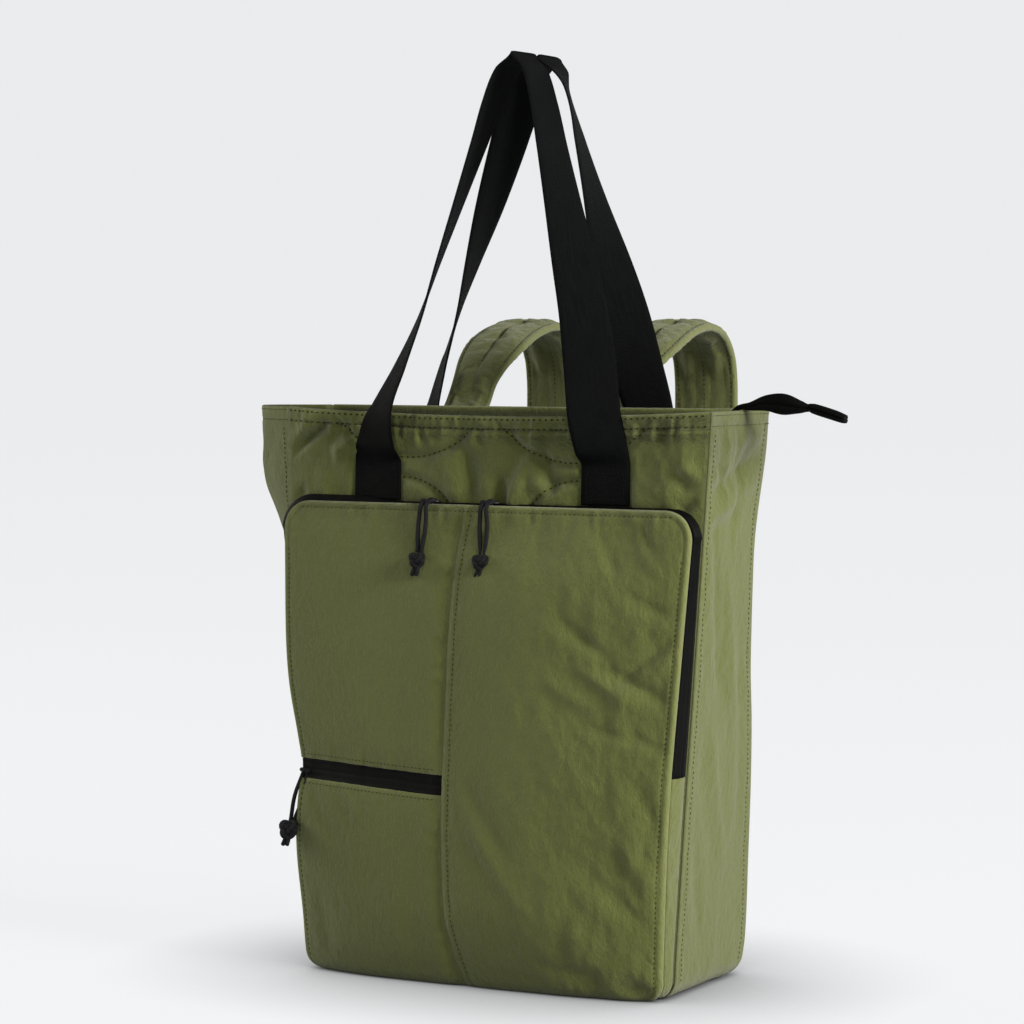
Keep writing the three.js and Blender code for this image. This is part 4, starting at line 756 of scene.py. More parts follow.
# The pocket is a bellows of the same cloth, sewn in three pieces about a centre seam and a level zip. Its
# face is 2 mm thick, tacked down at the seams, wrinkled towards them and gathered along its top.
POCKET_TOP = 0.345
POCKET_DEPTH = 0.022
POCKET_CORNER = 0.022
POCKET_INSET = 0.0035
POCKET_CLOTH = 0.002
POCKET_ROLL = 0.002
POCKET_FOOT_RADIUS = 0.008
POCKET_PUFF = 0.013
SEAM_OFFSET = -0.019
SEAM_TACK = 0.0025
SEAM_TACK_WIDTH = 0.007
SEAM_TOP_TACK = 0.3
ZIP_CLEARANCE = 0.0012
LOW_ZIP_HEIGHT = 0.145
LOW_ZIP_WIDTH = 0.0146
LOW_ZIP_RECESS = 0.001
POCKET_FOLD_GAIN = 1.1
POCKET_PLUMP = 0.0065
POCKET_ROUND = 0.0045
POCKET_ROW = 0.0048
POCKET_TOP_ROW = 0.0045
LOW_ZIP_ROW = 0.0032
LAP_ROW = 0.0062
# Columns: share of the height, depth, puff, and sideways place of the centre seam, each a share
POCKET_PROFILE = np.array([
    (0.00, 0.66, 0.90, 0.20), (0.06, 0.72, 1.00, 0.45), (0.14, 0.78, 0.95, 0.75), (0.30, 0.95, 0.60, 0.97),
    (0.46, 1.00, 0.35, 1.00), (0.70, 0.86, 0.30, 1.00), (0.92, 0.68, 0.20, 0.85), (1.00, 0.66, 0.10, 0.70)])
# Columns: x and z of both ends, width and height of the fold, all in millimetres
POCKET_FOLDS = np.array([
    (72, 267, 110, 240, 5.0, -1.9), (104, 236, 151, 212, 5.0, -2.2), (112, 220, 157, 257, 5.0, -1.9),
    (84, 236, 122, 214, 4.0, 1.3), (60, 226, 96, 206, 5.0, 1.0), (120, 286, 156, 270, 4.5, -1.4),
    (124, 190, 158, 176, 4.0, -1.3), (92, 196, 128, 184, 4.0, -1.0), (120, 12, 152, 2, 7.0, -3.4),
    (-60, 20, -52, 90, 8.0, 0.7), (96, 330, 112, 300, 4.0, -0.9), (128, 334, 140, 312, 3.5, -0.9),
    (130, 160, 154, 110, 6.0, -1.4), (116, 120, 150, 80, 6.0, 1.3), (96, 96, 140, 54, 6.0, -1.2),
    (0, 150, 40, 96, 5.0, -0.9), (4, 120, 52, 60, 5.0, 0.8), (60, 24, 110, 14, 6.0, -1.0),
    (-130, 60, -120, 14, 6.0, -0.8), (-146, 134, -110, 96, 5.0, -0.9), (-110, 136, -88, 110, 4.0, 0.7)])


def pocket_half(z):
    """Half the pocket's width at a height."""
    return half_width(z) - POCKET_INSET - foot_inset(z)


def pocket_reach(z):
    """Half the width of the face, less where its top corners are rounded."""
    above = np.clip(z - (POCKET_TOP - POCKET_CORNER), 0.0, POCKET_CORNER)
    return pocket_half(z) - POCKET_CORNER + np.sqrt(POCKET_CORNER**2 - above**2)


def seam_x(z):
    """The centre seam wanders off the middle."""
    return along(POCKET_PROFILE, 3, z / POCKET_TOP) * SEAM_OFFSET


def inside_edge(x, z):
    """How far a place of the face lies from its edge: from the nearest side, or the corner's arc."""
    half = pocket_half(z)
    sideways, above = np.abs(x) - (half - POCKET_CORNER), z - (POCKET_TOP - POCKET_CORNER)
    straight = np.minimum(half - np.abs(x), POCKET_TOP - z)
    rounded = POCKET_CORNER - np.hypot(sideways, above)
    return np.maximum(0.0, np.where((sideways > 0) & (above > 0), rounded, straight))


def roll_back(distance, radius):
    """How far an edge rolled to a radius has turned away at a distance from its end."""
    near = np.maximum(0.0, radius - distance)
    return radius - np.sqrt(np.maximum(0.0, radius**2 - near**2))


def pocket_relief(x, z, edge, off, on_left):
    """The face's small relief: folds, crinkles that grow to the right, gathers under the top zip and about
    the level one, puckers beside the centre seam, the groove of a row of stitches and the seam's lap."""
    calm = ease(edge, 0.0, 0.012)
    folds = POCKET_FOLD_GAIN * creases(x, z, POCKET_FOLDS) * calm
    rough = 0.30 + 1.0 * ease(x, 0.02, 0.10)
    crinkle = (0.0010 * soft_noise(x / 0.024, z / 0.040, 11.0) + 0.0007 * soft_noise(x / 0.010, z / 0.017, 12.0)
               + 0.00030 * soft_noise(x / 0.0045, z / 0.0065, 13.0)) * calm * rough
    by_top = POCKET_TOP - z
    near_top = ease(by_top, 0.0, 0.004) * (1 - ease(by_top, 0.007, 0.019))
    gathers = 0.0008 * soft_noise(x / 0.0042, z / 0.03, 14.0) * near_top
    by_zip = np.abs(np.abs(z - LOW_ZIP_HEIGHT) - LOW_ZIP_WIDTH / 2)
    zip_gathers = 0.0006 * soft_noise(x / 0.0050, z / 0.03, 15.0) * on_left * (1 - ease(by_zip, 0.003, 0.014))
    pucker = soft_noise(z / 0.0060, x / 0.03, 16.0) * ridge(np.abs(off) - 0.006, 0.0007, 0.005)
    edge_row = ridge(edge - POCKET_TOP_ROW, 0.0005, 0.0010)
    lap = ridge(off - 0.0035, 0.0010, 0.0024)
    return folds + crinkle + gathers + zip_gathers + pucker - edge_row + lap


def pocket_y(x, z, fine=1.0):
    """The pocket's face: crowned as 1 - across^4, plump on its right half, tacked along its seams and rolled
    back at its edges, with a share of its small relief."""
    half = pocket_half(z)
    share = z / POCKET_TOP
    face = -depth_at(z, 1) - along(POCKET_PROFILE, 1, share) * POCKET_DEPTH
    crown = (1 - np.minimum(1.0, np.abs(x) / half)**4) * along(POCKET_PROFILE, 2, share) * POCKET_PUFF
    plump = ridge(x - 0.050, POCKET_PLUMP, 0.070) * ease(z, 0.0, 0.07) * (1 - ease(z, 0.29, 0.345))
    round_out = POCKET_ROUND * (1 - (x / half)**2) * ease(z, 0.0, 0.06) * (1 - ease(z, 0.27, 0.345))
    at_top = ease(z, POCKET_TOP - POCKET_CORNER, POCKET_TOP)
    off = x - seam_x(z)
    tack = ridge(off, SEAM_TACK, SEAM_TACK_WIDTH) * (1 + (SEAM_TOP_TACK - 1) * at_top)
    on_left = ease(-off, 0.0, 2 * SEAM_TACK_WIDTH)
    low_tack = on_left * ridge(z - LOW_ZIP_HEIGHT, SEAM_TACK, LOW_ZIP_WIDTH)
    edge = inside_edge(x, z)
    rolled = roll_back(edge, POCKET_ROLL) + roll_back(z, POCKET_FOOT_RADIUS)
    small = fine * pocket_relief(x, z, edge, off, on_left)
    return face - crown - plump - round_out + tack + low_tack + rolled - small


def pocket_surface(x, z):
    """Points of the pocket's face."""
    return np.stack([x, pocket_y(x, z), z], -1)


def pocket_piece(name, left, right, heights, columns, node):
    """One piece of the pocket's face, between two sides given for each height. It wears at its edges, and
    along the centre seam and the level zip."""
    share, z = np.meshgrid(columns, heights)
    x = left(z) + (right(z) - left(z)) * share
    outer = pocket_surface(x, z)
    made = put(name, *cloth_wall(outer, outer + POCKET_CLOTH * BACKWARDS, 0.0004))
    from_zip = np.where(x < seam_x(z), np.abs(z - LOW_ZIP_HEIGHT) - 0.006, 1.0)
    from_seam = np.abs(x - seam_x(z)) + 0.002
    near = np.minimum(inside_edge(x, z), np.minimum(from_seam, from_zip)) / 0.0032
    border = np.zeros(len(made.data.vertices) - 2 * near.size)
    wear_near_edges(made, np.concatenate([near.ravel(), near.ravel() + 2.0, border]))
    return fit(made, olive, "olive_cloth", node)


def crowded(count):
    """Shares from 0 to 1, closer together at both ends: even ones mixed with half a turn of a cosine."""
    share = np.linspace(0.0, 1.0, count)
    return 0.55 * share + 0.45 * (1 - np.cos(np.pi * share)) / 2


zip_top = LOW_ZIP_HEIGHT + LOW_ZIP_WIDTH / 2 + SEAM_GAP / 2
zip_bottom = LOW_ZIP_HEIGHT - LOW_ZIP_WIDTH / 2 - SEAM_GAP / 2
left_edge = lambda z: -pocket_reach(z)
left_of_seam = lambda z: seam_x(z) - SEAM_GAP / 2
right_of_seam = lambda z: seam_x(z) + SEAM_GAP / 2
foot = np.array([0.0, 0.0004, 0.0012, 0.0025, 0.0045, 0.0068])
head = POCKET_TOP - np.array([0.0060, 0.0048, 0.0038, 0.0029, 0.0021, 0.0014, 0.0008, 0.0004, 0.0])
head = np.concatenate([np.linspace(0.3287, 0.3382, 9), head])
full_rows = np.concatenate([foot, np.linspace(0.0090, 0.3275, 200), head])
upper_rows = np.concatenate([np.linspace(zip_top, 0.3275, 112), head])
lower_rows = np.concatenate([foot, np.linspace(0.0090, zip_bottom, 82)])
for name, left, right, heights, columns, node in (
        ("right", right_of_seam, pocket_reach, full_rows, 130, "right"),
        ("upper", left_edge, left_of_seam, upper_rows, 104, "left_upper"),
        ("lower", left_edge, left_of_seam, lower_rows, 104, "left_lower")):
    pocket_piece(f"pocket_{name}_cloth", left, right, heights, crowded(columns), f"pocket_panel_{node}")

up_seam = np.linspace(0.010, 0.338, 500)
up_side = up_seam[:460]
over_left = np.linspace(-pocket_half(LOW_ZIP_HEIGHT) + 0.006, SEAM_OFFSET - 0.006, 300)
over_top = np.linspace(-1.0, 1.0, 500) * (pocket_half(POCKET_TOP) - 0.016)
pocket_rows = [
    (seam_x(up_seam) + LAP_ROW, up_seam),
    (over_left, np.full_like(over_left, zip_top + LOW_ZIP_ROW)),
    (over_left, np.full_like(over_left, zip_bottom - LOW_ZIP_ROW)),
    (over_top, np.full_like(over_top, POCKET_TOP - POCKET_TOP_ROW)),
    (pocket_half(up_side) - POCKET_ROW, up_side),
    (-pocket_half(up_side) + POCKET_ROW, up_side),
]
stitches("pocket_stitches", pocket_surface, pocket_rows, thread, "olive_cloth")

# Two strips of cloth close the pocket's sides below the zip, and the floor of the bag runs forward to
# meet them. Both are plain pieces of the same cloth.
ZIP_END = 0.159


def band_surface(x, z, out_x, out_z, t, inside):
    """A place of the band round the pocket, t of the way from the shell to the face."""
    back = -depth_at(z, 1) - SEAM_GAP
    front = pocket_y(x, z, 0.0) + POCKET_CLOTH + ZIP_CLEARANCE
    flare = POCKET_INSET / 2 * (1 - t)
    return np.stack([x + out_x * (flare - inside), back + (front - back) * t,
                     z + out_z * (flare * 0.6 - inside)], -1)


for name, sign in (("right", 1.0), ("left", -1.0)):
    t, z = np.meshgrid(np.linspace(0.0, 1.0, 12), np.linspace(BASE_TOP, ZIP_END - SEAM_GAP, 90))
    x = sign * pocket_half(z)
    bulge = 0.0009 * np.sin(np.pi * t) * (1 + soft_noise(z / 0.012, t * 2, 21.0))
    outer, inner = (band_surface(x, z, sign, 0.0, t, inside - bulge) for inside in (0.0, POCKET_CLOTH))
    if sign > 0:
        outer, inner = outer[:, ::-1], inner[:, ::-1]
    strip = put(f"pocket_side_{name}_cloth", *cloth_wall(outer, inner, 0.0004))
    wear_near_edges(strip, np.full(len(strip.data.vertices), 1.2))
    fit(strip, olive, "olive_cloth", f"pocket_side_{name}")

LIE_GAP = 0.0006
base_back = depth_at(0.0, 2) - FOOT_RADIUS - LIE_GAP
base_half = half_width(0.0) - FOOT_RADIUS - POCKET_INSET - LIE_GAP
across, back = np.meshgrid(np.linspace(-base_half, base_half, 60), np.linspace(0.0, 1.0, 24))
base_front = pocket_y(across, np.zeros_like(across), 0.0) + POCKET_CLOTH + ZIP_CLEARANCE
base_y = base_front + (base_back - base_front) * back
under = np.stack([across, base_y, np.zeros_like(across)], -1)
floor_piece = put("base_cloth", *cloth_wall(under + CLOTH * UPWARDS, under, 0.0004))
wear_near_edges(floor_piece, np.full(len(floor_piece.data.vertices), 2.0))
fit(floor_piece, olive, "olive_cloth", "base_panel")

# A black coated zip runs up both sides of the pocket and over its top, and a second one lies level on
# the left half. Their coils are hidden: each shows two tapes of smooth coated cloth that meet in a line.
ZIP_THICKNESS = 0.0015
PROUD_SIDES = 0.0020
PROUD_CORNER = 0.0042
ZIP_BLACK = (0.0010, 0.0009, 0.0009, 1.0)
ZIP_GREY = (0.0028, 0.0028, 0.0028, 1.0)


def zip_material():
    """Coated zip tape: nearly smooth, with fine ribs along it and a grey bloom where it is rubbed."""
    made = Finish("black_zip", ZIP_BLACK, 0.55, specular=0.04)
    ribs = made.waves(made.cloth, 1400.0)
    bloom = made.noise(made.place, (60.0, 60.0, 35.0), 3.0)
    colour = made.mix(bloom, ZIP_BLACK, ZIP_GREY)
    ripple = made.bump(made.noise(made.place, (120.0, 120.0, 60.0)), 0.0006)
    return made.finish(colour, made.between(bloom, 0.45, 0.65), made.bump(ribs, 0.0001, ripple))


black_zip = zip_material()


def zip_groove(t):
    """The tape's relief: a step down to the line where the two halves meet, and a stitched step each side."""
    return (ridge(t - 0.5, -0.0006, 0.035) + ridge(t - 0.36, 0.0003, 0.05) + ridge(t - 0.64, 0.0003, 0.05)
            + ridge(t - 0.17, -0.0004, 0.03) + ridge(t - 0.83, -0.0004, 0.03))


side_z = np.linspace(ZIP_END, POCKET_TOP - POCKET_CORNER, 60)
corner_angle = np.linspace(0.0, np.pi / 2, 14)[1:]
arc_x, arc_z = np.cos(corner_angle), np.sin(corner_angle)
top_half = pocket_half(POCKET_TOP) - POCKET_CORNER
over_x = np.linspace(top_half, -top_half, 90)[1:-1]
up_x = np.concatenate([pocket_half(side_z), top_half + POCKET_CORNER * arc_x])
up_z = np.concatenate([side_z, POCKET_TOP - POCKET_CORNER + POCKET_CORNER * arc_z])
up_out_x = np.concatenate([np.ones_like(side_z), arc_x])
up_out_z = np.concatenate([np.zeros_like(side_z), arc_z])
line_x = np.concatenate([up_x, over_x, -up_x[::-1]])
line_z = np.concatenate([up_z, np.full_like(over_x, POCKET_TOP), up_z[::-1]])
line_out_x = np.concatenate([up_out_x, np.zeros_like(over_x), -up_out_x[::-1]])
line_out_z = np.concatenate([up_out_z, np.ones_like(over_x), up_out_z[::-1]])
t = np.linspace(0.0, 1.0, 25)
args = [values[:, None] for values in (line_x, line_z, line_out_x, line_out_z)]
on_side = PROUD_SIDES * (1 - ease(np.abs(line_out_z), 0.75, 1.0))
on_left = PROUD_CORNER * ease(line_z, 0.285, 0.325) * ease(-line_x, 0.070, 0.110)
proud = on_side[:, None] * np.sin(np.pi * t)[None, :]**0.7
proud = np.maximum(proud, on_left[:, None] * np.sin(np.pi * t**2.2)[None, :]**0.8)
lift = zip_groove(t)[None, :] + proud
outer = band_surface(*args, t[None, :], -lift)
inner = band_surface(*args, t[None, :], ZIP_THICKNESS - proud)
band = put("pocket_zip_band", *cloth_wall(outer[:, ::-1], inner[:, ::-1], 0.0003))
fit(band, black_zip, "black_zip", "pocket_zip_tape")

share, t = np.meshgrid(np.linspace(0.0, 1.0, 110), np.linspace(0.0, 1.0, 19))
z = zip_bottom + SEAM_GAP + (zip_top - zip_bottom - 2 * SEAM_GAP) * t
zip_left = left_edge(z) + POCKET_ROLL
x = zip_left + (seam_x(z) - SEAM_GAP - zip_left) * share
z = z + 0.0006 * soft_noise(x / 0.03, t * 0.2, 31.0)
y = pocket_y(x, z, 0.35) + LOW_ZIP_RECESS
outer = np.stack([x, y - 0.3 * zip_groove(t) - 0.0006, z], -1)
inner = np.stack([x, y + ZIP_THICKNESS, z], -1)
low_tape = put("low_zip_band", *cloth_wall(outer, inner, 0.0003))
fit(low_tape, black_zip, "black_zip", "low_zip_tape")

# Each zip slider is a small black enamelled casting: a tapered body, a bridge over it and a ring for the
# cord to pass through.
METAL = (0.010, 0.010, 0.011, 1.0)
METAL_RUBBED = (0.03, 0.03, 0.03, 1.0)
# The direction along each slider and the one across it
SLIDERS = {"pocket_slider_left": (RIGHTWARDS, BACKWARDS), "pocket_slider_right": (RIGHTWARDS, BACKWARDS),
           "low_slider": (RIGHTWARDS, UPWARDS)}


def metal_material():
    """Black enamel over metal, smooth, with small rubbed spots."""
    made = Finish("black_metal", METAL, 0.3, metallic=0.6)
    spots = made.noise(made.place, (700.0, 700.0, 700.0), 3.0)
    return made.finish(made.mix(spots, METAL, METAL_RUBBED), made.between(spots, 0.25, 0.45))


def rounded_box(half_wide, half_high, corner, steps=4):
    """A rectangle's profile with rounded corners."""
    turn = np.linspace(0.0, np.pi / 2, steps)
    arcs = [np.stack([np.cos(turn + start) * corner + cx, np.sin(turn + start) * corner + cy], -1)
            for start, cx, cy in ((0.0, half_wide - corner, half_high - corner),
                                  (np.pi / 2, corner - half_wide, half_high - corner),
                                  (np.pi, corner - half_wide, corner - half_high),
                                  (3 * np.pi / 2, half_wide - corner, corner - half_high))]
    return np.concatenate(arcs)


black_metal = metal_material()
for name, (ahead, across) in SLIDERS.items():
    low, high = (np.array(end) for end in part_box(name))
    centre, size, up = (low + high) / 2, high - low, np.cross(ahead, across)
    long, wide, tall = abs(size @ ahead), abs(size @ across), abs(size @ up)
    at = np.linspace(-0.5, 0.5, 15)
    taper = 1 - 0.5 * np.abs(2 * at)**4 - 0.12 * at
    profile = rounded_box(wide / 2, tall * 0.22, tall * 0.15)[None] * taper[:, None, None]
    body = sweep(centre + np.outer(at * long, ahead) - up * tall * 0.22, across, profile)
    arch = np.linspace(0.0, np.pi, 15)
    bridge_line = (centre + np.outer(-np.cos(arch) * long * 0.30, ahead)
                   + np.outer(np.sin(arch) * tall * 0.36 - tall * 0.02, up))
    bridge = sweep(bridge_line, across, rounded_box(wide * 0.14, tall * 0.09, tall * 0.06))
    turn = np.linspace(0.0, 2 * np.pi, 25)
    ring_line = (centre + np.outer(np.cos(turn) * long * 0.20, ahead)
                 + np.outer(np.sin(turn) * wide * 0.20 - wide * 0.20, across) + up * tall * 0.14)
    ring = sweep(ring_line, up, circle(tall * 0.10, 8))
    fit(put(f"{name}_parts", *joined([body, bridge, ring])), black_metal, "black_metal", name)

# The top zip is open. Each of its tapes hangs inside its own side of the mouth with its coil along the
# lower edge, and past the right gusset both ends are joined and capped by a folded tab.
MOUTH_ZIP_WIDTH = 0.024
MOUTH_ZIP_DROP = 0.012
COIL_RADIUS = 0.0011
TAIL_FROM = 0.163
TAIL_HEIGHT = 0.015
TAIL_THICKNESS = 0.009
# Columns: share of the length, lift of the lower edge, height and thickness, as shares of the whole
TAIL_ROWS = np.array([
    (0.00, -0.42, 0.22, 0.60), (0.14, 0.02, 0.24, 0.70), (0.30, 0.02, 0.42, 0.76), (0.50, 0.00, 0.78, 0.90),
    (0.70, -0.16, 1.00, 1.00), (0.90, -0.08, 0.60, 0.90), (1.00, 0.00, 0.37, 0.74)])
TAB_ROWS = np.array([
    (0.00, 0.62, 0.36, 0.70), (0.12, 0.48, 0.50, 0.95), (0.70, 0.14, 0.52, 0.95), (0.93, 0.02, 0.46, 0.88),
    (1.00, 0.02, 0.42, 0.75)])


def mouth_tape(wall, share, drop, inside):
    """A place of a tape that hangs inside the rim, drop below it."""
    z = BAG_HEIGHT - drop
    x, y, out_x, out_y, _ = wall_place(wall, CORNER_SHARE + (1 - 2 * CORNER_SHARE) * share, z, 0.0)
    bow = drawn_in(share, z) if wall == BACK else 0.0
    sag = RIM_SAG * 4 * share * (1 - share) if wall == FRONT else 0.0
    inwards = CLOTH + 0.0030 + inside + bow + 0.0008 * soft_noise(share * 14, drop * 60, 41.0 + wall)
    return np.stack([x - out_x * inwards, y - out_y * inwards, z - sag + 0 * x], -1)


mouth_low = MOUTH_ZIP_DROP + MOUTH_ZIP_WIDTH
for name, wall in (("mouth_zip_front", FRONT), ("mouth_zip_back", BACK)):
    share, drop = np.meshgrid(np.linspace(0.06, 0.94, 120), np.linspace(mouth_low, MOUTH_ZIP_DROP, 12))
    tape = cloth_wall(mouth_tape(wall, share, drop, 0.0), mouth_tape(wall, share, drop, 0.0010), 0.0002)
    at = np.linspace(0.06, 0.94, 900)
    line = mouth_tape(wall, at, np.full_like(at, mouth_low - 0.0012), 0.0012)
    teeth = COIL_RADIUS * (1 + 0.28 * np.sin(np.arange(len(at)) * np.pi / 2))
    coil = sweep(line, UPWARDS, circle(1.0, 6)[None] * teeth[:, None, None])
    fit(put(f"{name}_tape", *joined([tape, coil])), black_zip, "black_zip", name)


def leaf(rows, x0, length, z0, height, count):
    """A closed soft end of a tape: upright flattened rings along X, pinched along the middle of each face,
    from a table as TAIL_ROWS."""
    at = np.linspace(rows[0, 0], rows[-1, 0], count)
    lift, tall, fat = (along(rows, column, at) for column in (1, 2, 3))
    path = np.stack([x0 + at * length, np.zeros(count), z0 + height * (lift + tall / 2)], -1)
    turn = 2 * np.pi * np.arange(28) / 28
    squeeze = np.sign(np.cos(turn)) * np.abs(np.cos(turn))**0.8
    groove = 1 - ridge(np.sin(turn), 0.35, 0.10)
    profile = np.stack([np.outer(fat * TAIL_THICKNESS / 2, squeeze * groove),
                        np.outer(tall * height / 2, np.sin(turn))], -1)
    return sweep(path, BACKWARDS, profile)


tail_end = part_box("mouth_zip_tail")[1].x
tail = leaf(TAIL_ROWS, TAIL_FROM, tail_end - TAIL_FROM, BAG_HEIGHT + SEAM_GAP, TAIL_HEIGHT, 70)
fit(put("mouth_tail_leaf", *tail), black_zip, "black_zip", "mouth_zip_tail")
low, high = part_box("mouth_zip_tab")
tab = leaf(TAB_ROWS, low.x, high.x - low.x, low.z, high.z - low.z, 40)
fit(put("mouth_tail_tab", *tab), black_zip, "black_zip", "mouth_zip_tab")

# Both handles are one long strip each of flat black webbing, 38 mm wide and 2 mm thick, sewn flat under
# the rim and held up together, so that every limb turns edge-on as it rises.
WEBBING_WIDTH = 0.038
WEBBING_THICKNESS = 0.002
HANDLE_SEWN = 0.025
HANDLE_RISE = 0.296
HANDLE_TOP_X = 0.010
HANDLE_TOP_GAP = 0.001
BACK_SHIFT = -0.0045
WEBBING_BLACK = (0.0014, 0.0016, 0.0016, 1.0)
WEBBING_GREY = (0.0052, 0.0058, 0.0056, 1.0)
# Columns: share of the rise, share of the way in to the top
LIMB_PATH = np.array([(0.00, 0.000), (0.13, 0.075), (0.24, 0.170), (0.36, 0.280), (0.49, 0.400),
                      (0.64, 0.545), (0.78, 0.680), (0.88, 0.775), (0.96, 0.880), (1.00, 1.000)])
# Columns: share of the rise, turn of the left and right limb in degrees, bow of each as a share of the width
FRONT_TWIST = np.array([
    (0.00, 0, 0, 0.00, 0.00), (0.05, 18, 18, 0.18, 0.18), (0.13, 36, 28, 0.36, 0.28), (0.24, 48, 33, 0.16, 0.12),
    (0.36, 57, 48, 0.00, 0.00), (0.49, 65, 60, 0.00, 0.00), (0.64, 72, 74, 0.00, 0.00), (0.80, 80, 84, 0.00, 0.00),
    (1.00, 90, 90, 0.00, 0.00)])
BACK_TWIST = np.array([
    (0.00, 0, 0, 0.00, 0.00), (0.05, 20, 2, 0.20, 0.04), (0.14, 48, 5, 0.42, 0.04), (0.24, 56, 20, 0.12, 0.00),
    (0.36, 63, 42, 0.00, 0.00), (0.49, 77, 66, 0.00, 0.00), (0.64, 95, 90, 0.00, 0.00), (0.80, 108, 106, 0.00, 0.00),
    (0.92, 113, 113, 0.00, 0.00), (1.00, 90, 90, 0.00, 0.00)])


def webbing_material():
    """Woven nylon webbing: a fine twill with ribs along it, rubbed grey on its high threads."""
    made = Finish("black_webbing", WEBBING_BLACK, 0.8, specular=0.02)
    twill = made.math("ADD", made.waves(made.cloth, 900.0, 0.9), made.waves(made.cloth, 1300.0))
    rubbed = made.noise(made.cloth, (500.0, 60.0, 1.0), 3.0)
    colour = made.mix(made.math("MULTIPLY", rubbed, 0.8), WEBBING_BLACK, WEBBING_GREY)
    return made.finish(colour, made.between(rubbed, 0.5, 0.75), made.bump(twill, 0.0003))


def wall_y(wall, x, z):
    """The plain y of the front or back wall at a place, without its small folds."""
    corner_x, corner_y, _ = wall_corners(z)
    x0, x1, y0, y1 = corner_x[wall], corner_x[(wall + 1) % 4], corner_y[wall], corner_y[(wall + 1) % 4]
    share = np.clip((x - x0) / (x1 - x0), 0.02, 0.98)
    a = CORNER_SHARE + (1 - 2 * CORNER_SHARE) * share
    _, place_y, _, out_y, share = wall_place(wall, a, z, 0.0)
    bow = -MOUTH_DRAW * 4 * share * (1 - share) * ease(z / BAG_HEIGHT, 0.5, 1) if wall == BACK else 0.0
    return place_y + out_y * bow


def webbing_profile(width, thick, across=14):
    """A strip's section: nearly flat faces, with the selvedges rounded and a little thinner."""
    p = np.linspace(-1.0, 1.0, across)
    half = thick / 2 * (1 - 0.15 * np.exp(-((np.abs(p) - 0.86) / 0.05)**2)) * np.sqrt(1 - 0.75 * np.abs(p)**16)
    return np.concatenate([np.stack([p * width / 2, -half], -1), np.stack([p[::-1] * width / 2, half[::-1]], -1)])


def handle_path(side, twist):
    """The middle line of a handle and the direction across it, from its left foot over to its right one."""
    wall = BACK if side > 0 else FRONT
    shift = BACK_SHIFT if side > 0 else 0.0
    bottom = POCKET_TOP + POCKET_INSET
    sewn = bottom + HANDLE_SEWN
    clear = (0.0014 if side > 0 else LIE_GAP) + WEBBING_THICKNESS / 2
    half = WEBBING_WIDTH / 2

    def seat(x, z):
        ends = wall_y(wall, x - half, z), wall_y(wall, x + half, z)
        stand = np.maximum(side * wall_y(wall, x, z), side * (ends[0] + ends[1]) / 2)
        return side * (clear + stand), np.arctan2(ends[1] - ends[0], WEBBING_WIDTH)
    centres, angles = [], []
    for sign, columns in ((-1.0, (1, 3)), (1.0, (2, 4))):
        foot_x = shift + sign * FEET_X
        foot_z = np.linspace(bottom - 0.0020, sewn, 14)[:-1]
        rise = np.linspace(0.0, 1.0, 150) if sign < 0 else np.linspace(0.0, 1.0, 150)[:-1]
        foot_y, foot_angle = seat(np.full(13, foot_x), foot_z)
        sewn_y, sewn_angle = seat(np.array([foot_x]), np.array([sewn]))
        out = along(twist, columns[1], rise) * WEBBING_WIDTH
        turn = np.radians(along(twist, columns[0], rise)) + sign * sewn_angle * (1 - ease(rise, 0.0, 0.1))
        spread = 0.5 * sign * out if side > 0 else 0.0
        inward = along(LIMB_PATH, 1, rise)
        top_y = side * (WEBBING_WIDTH + HANDLE_TOP_GAP) / 2
        x = foot_x + (HANDLE_TOP_X - foot_x) * inward + spread
        y = sewn_y + (top_y - sewn_y) * rise + side * out
        limb = np.stack([x, y, sewn + rise * HANDLE_RISE], -1)
        centre = np.concatenate([np.stack([np.full(13, foot_x), foot_y, foot_z], -1), limb])
        angle = np.concatenate([foot_angle, -turn if sign < 0 else turn])
        if sign > 0:
            angle = angle - np.pi
        centres.append(centre if sign < 0 else centre[::-1])
        angles.append(angle if sign < 0 else angle[::-1])
    angle = np.concatenate(angles)
    return np.concatenate(centres), np.stack([np.cos(angle), np.sin(angle), 0 * angle], -1)


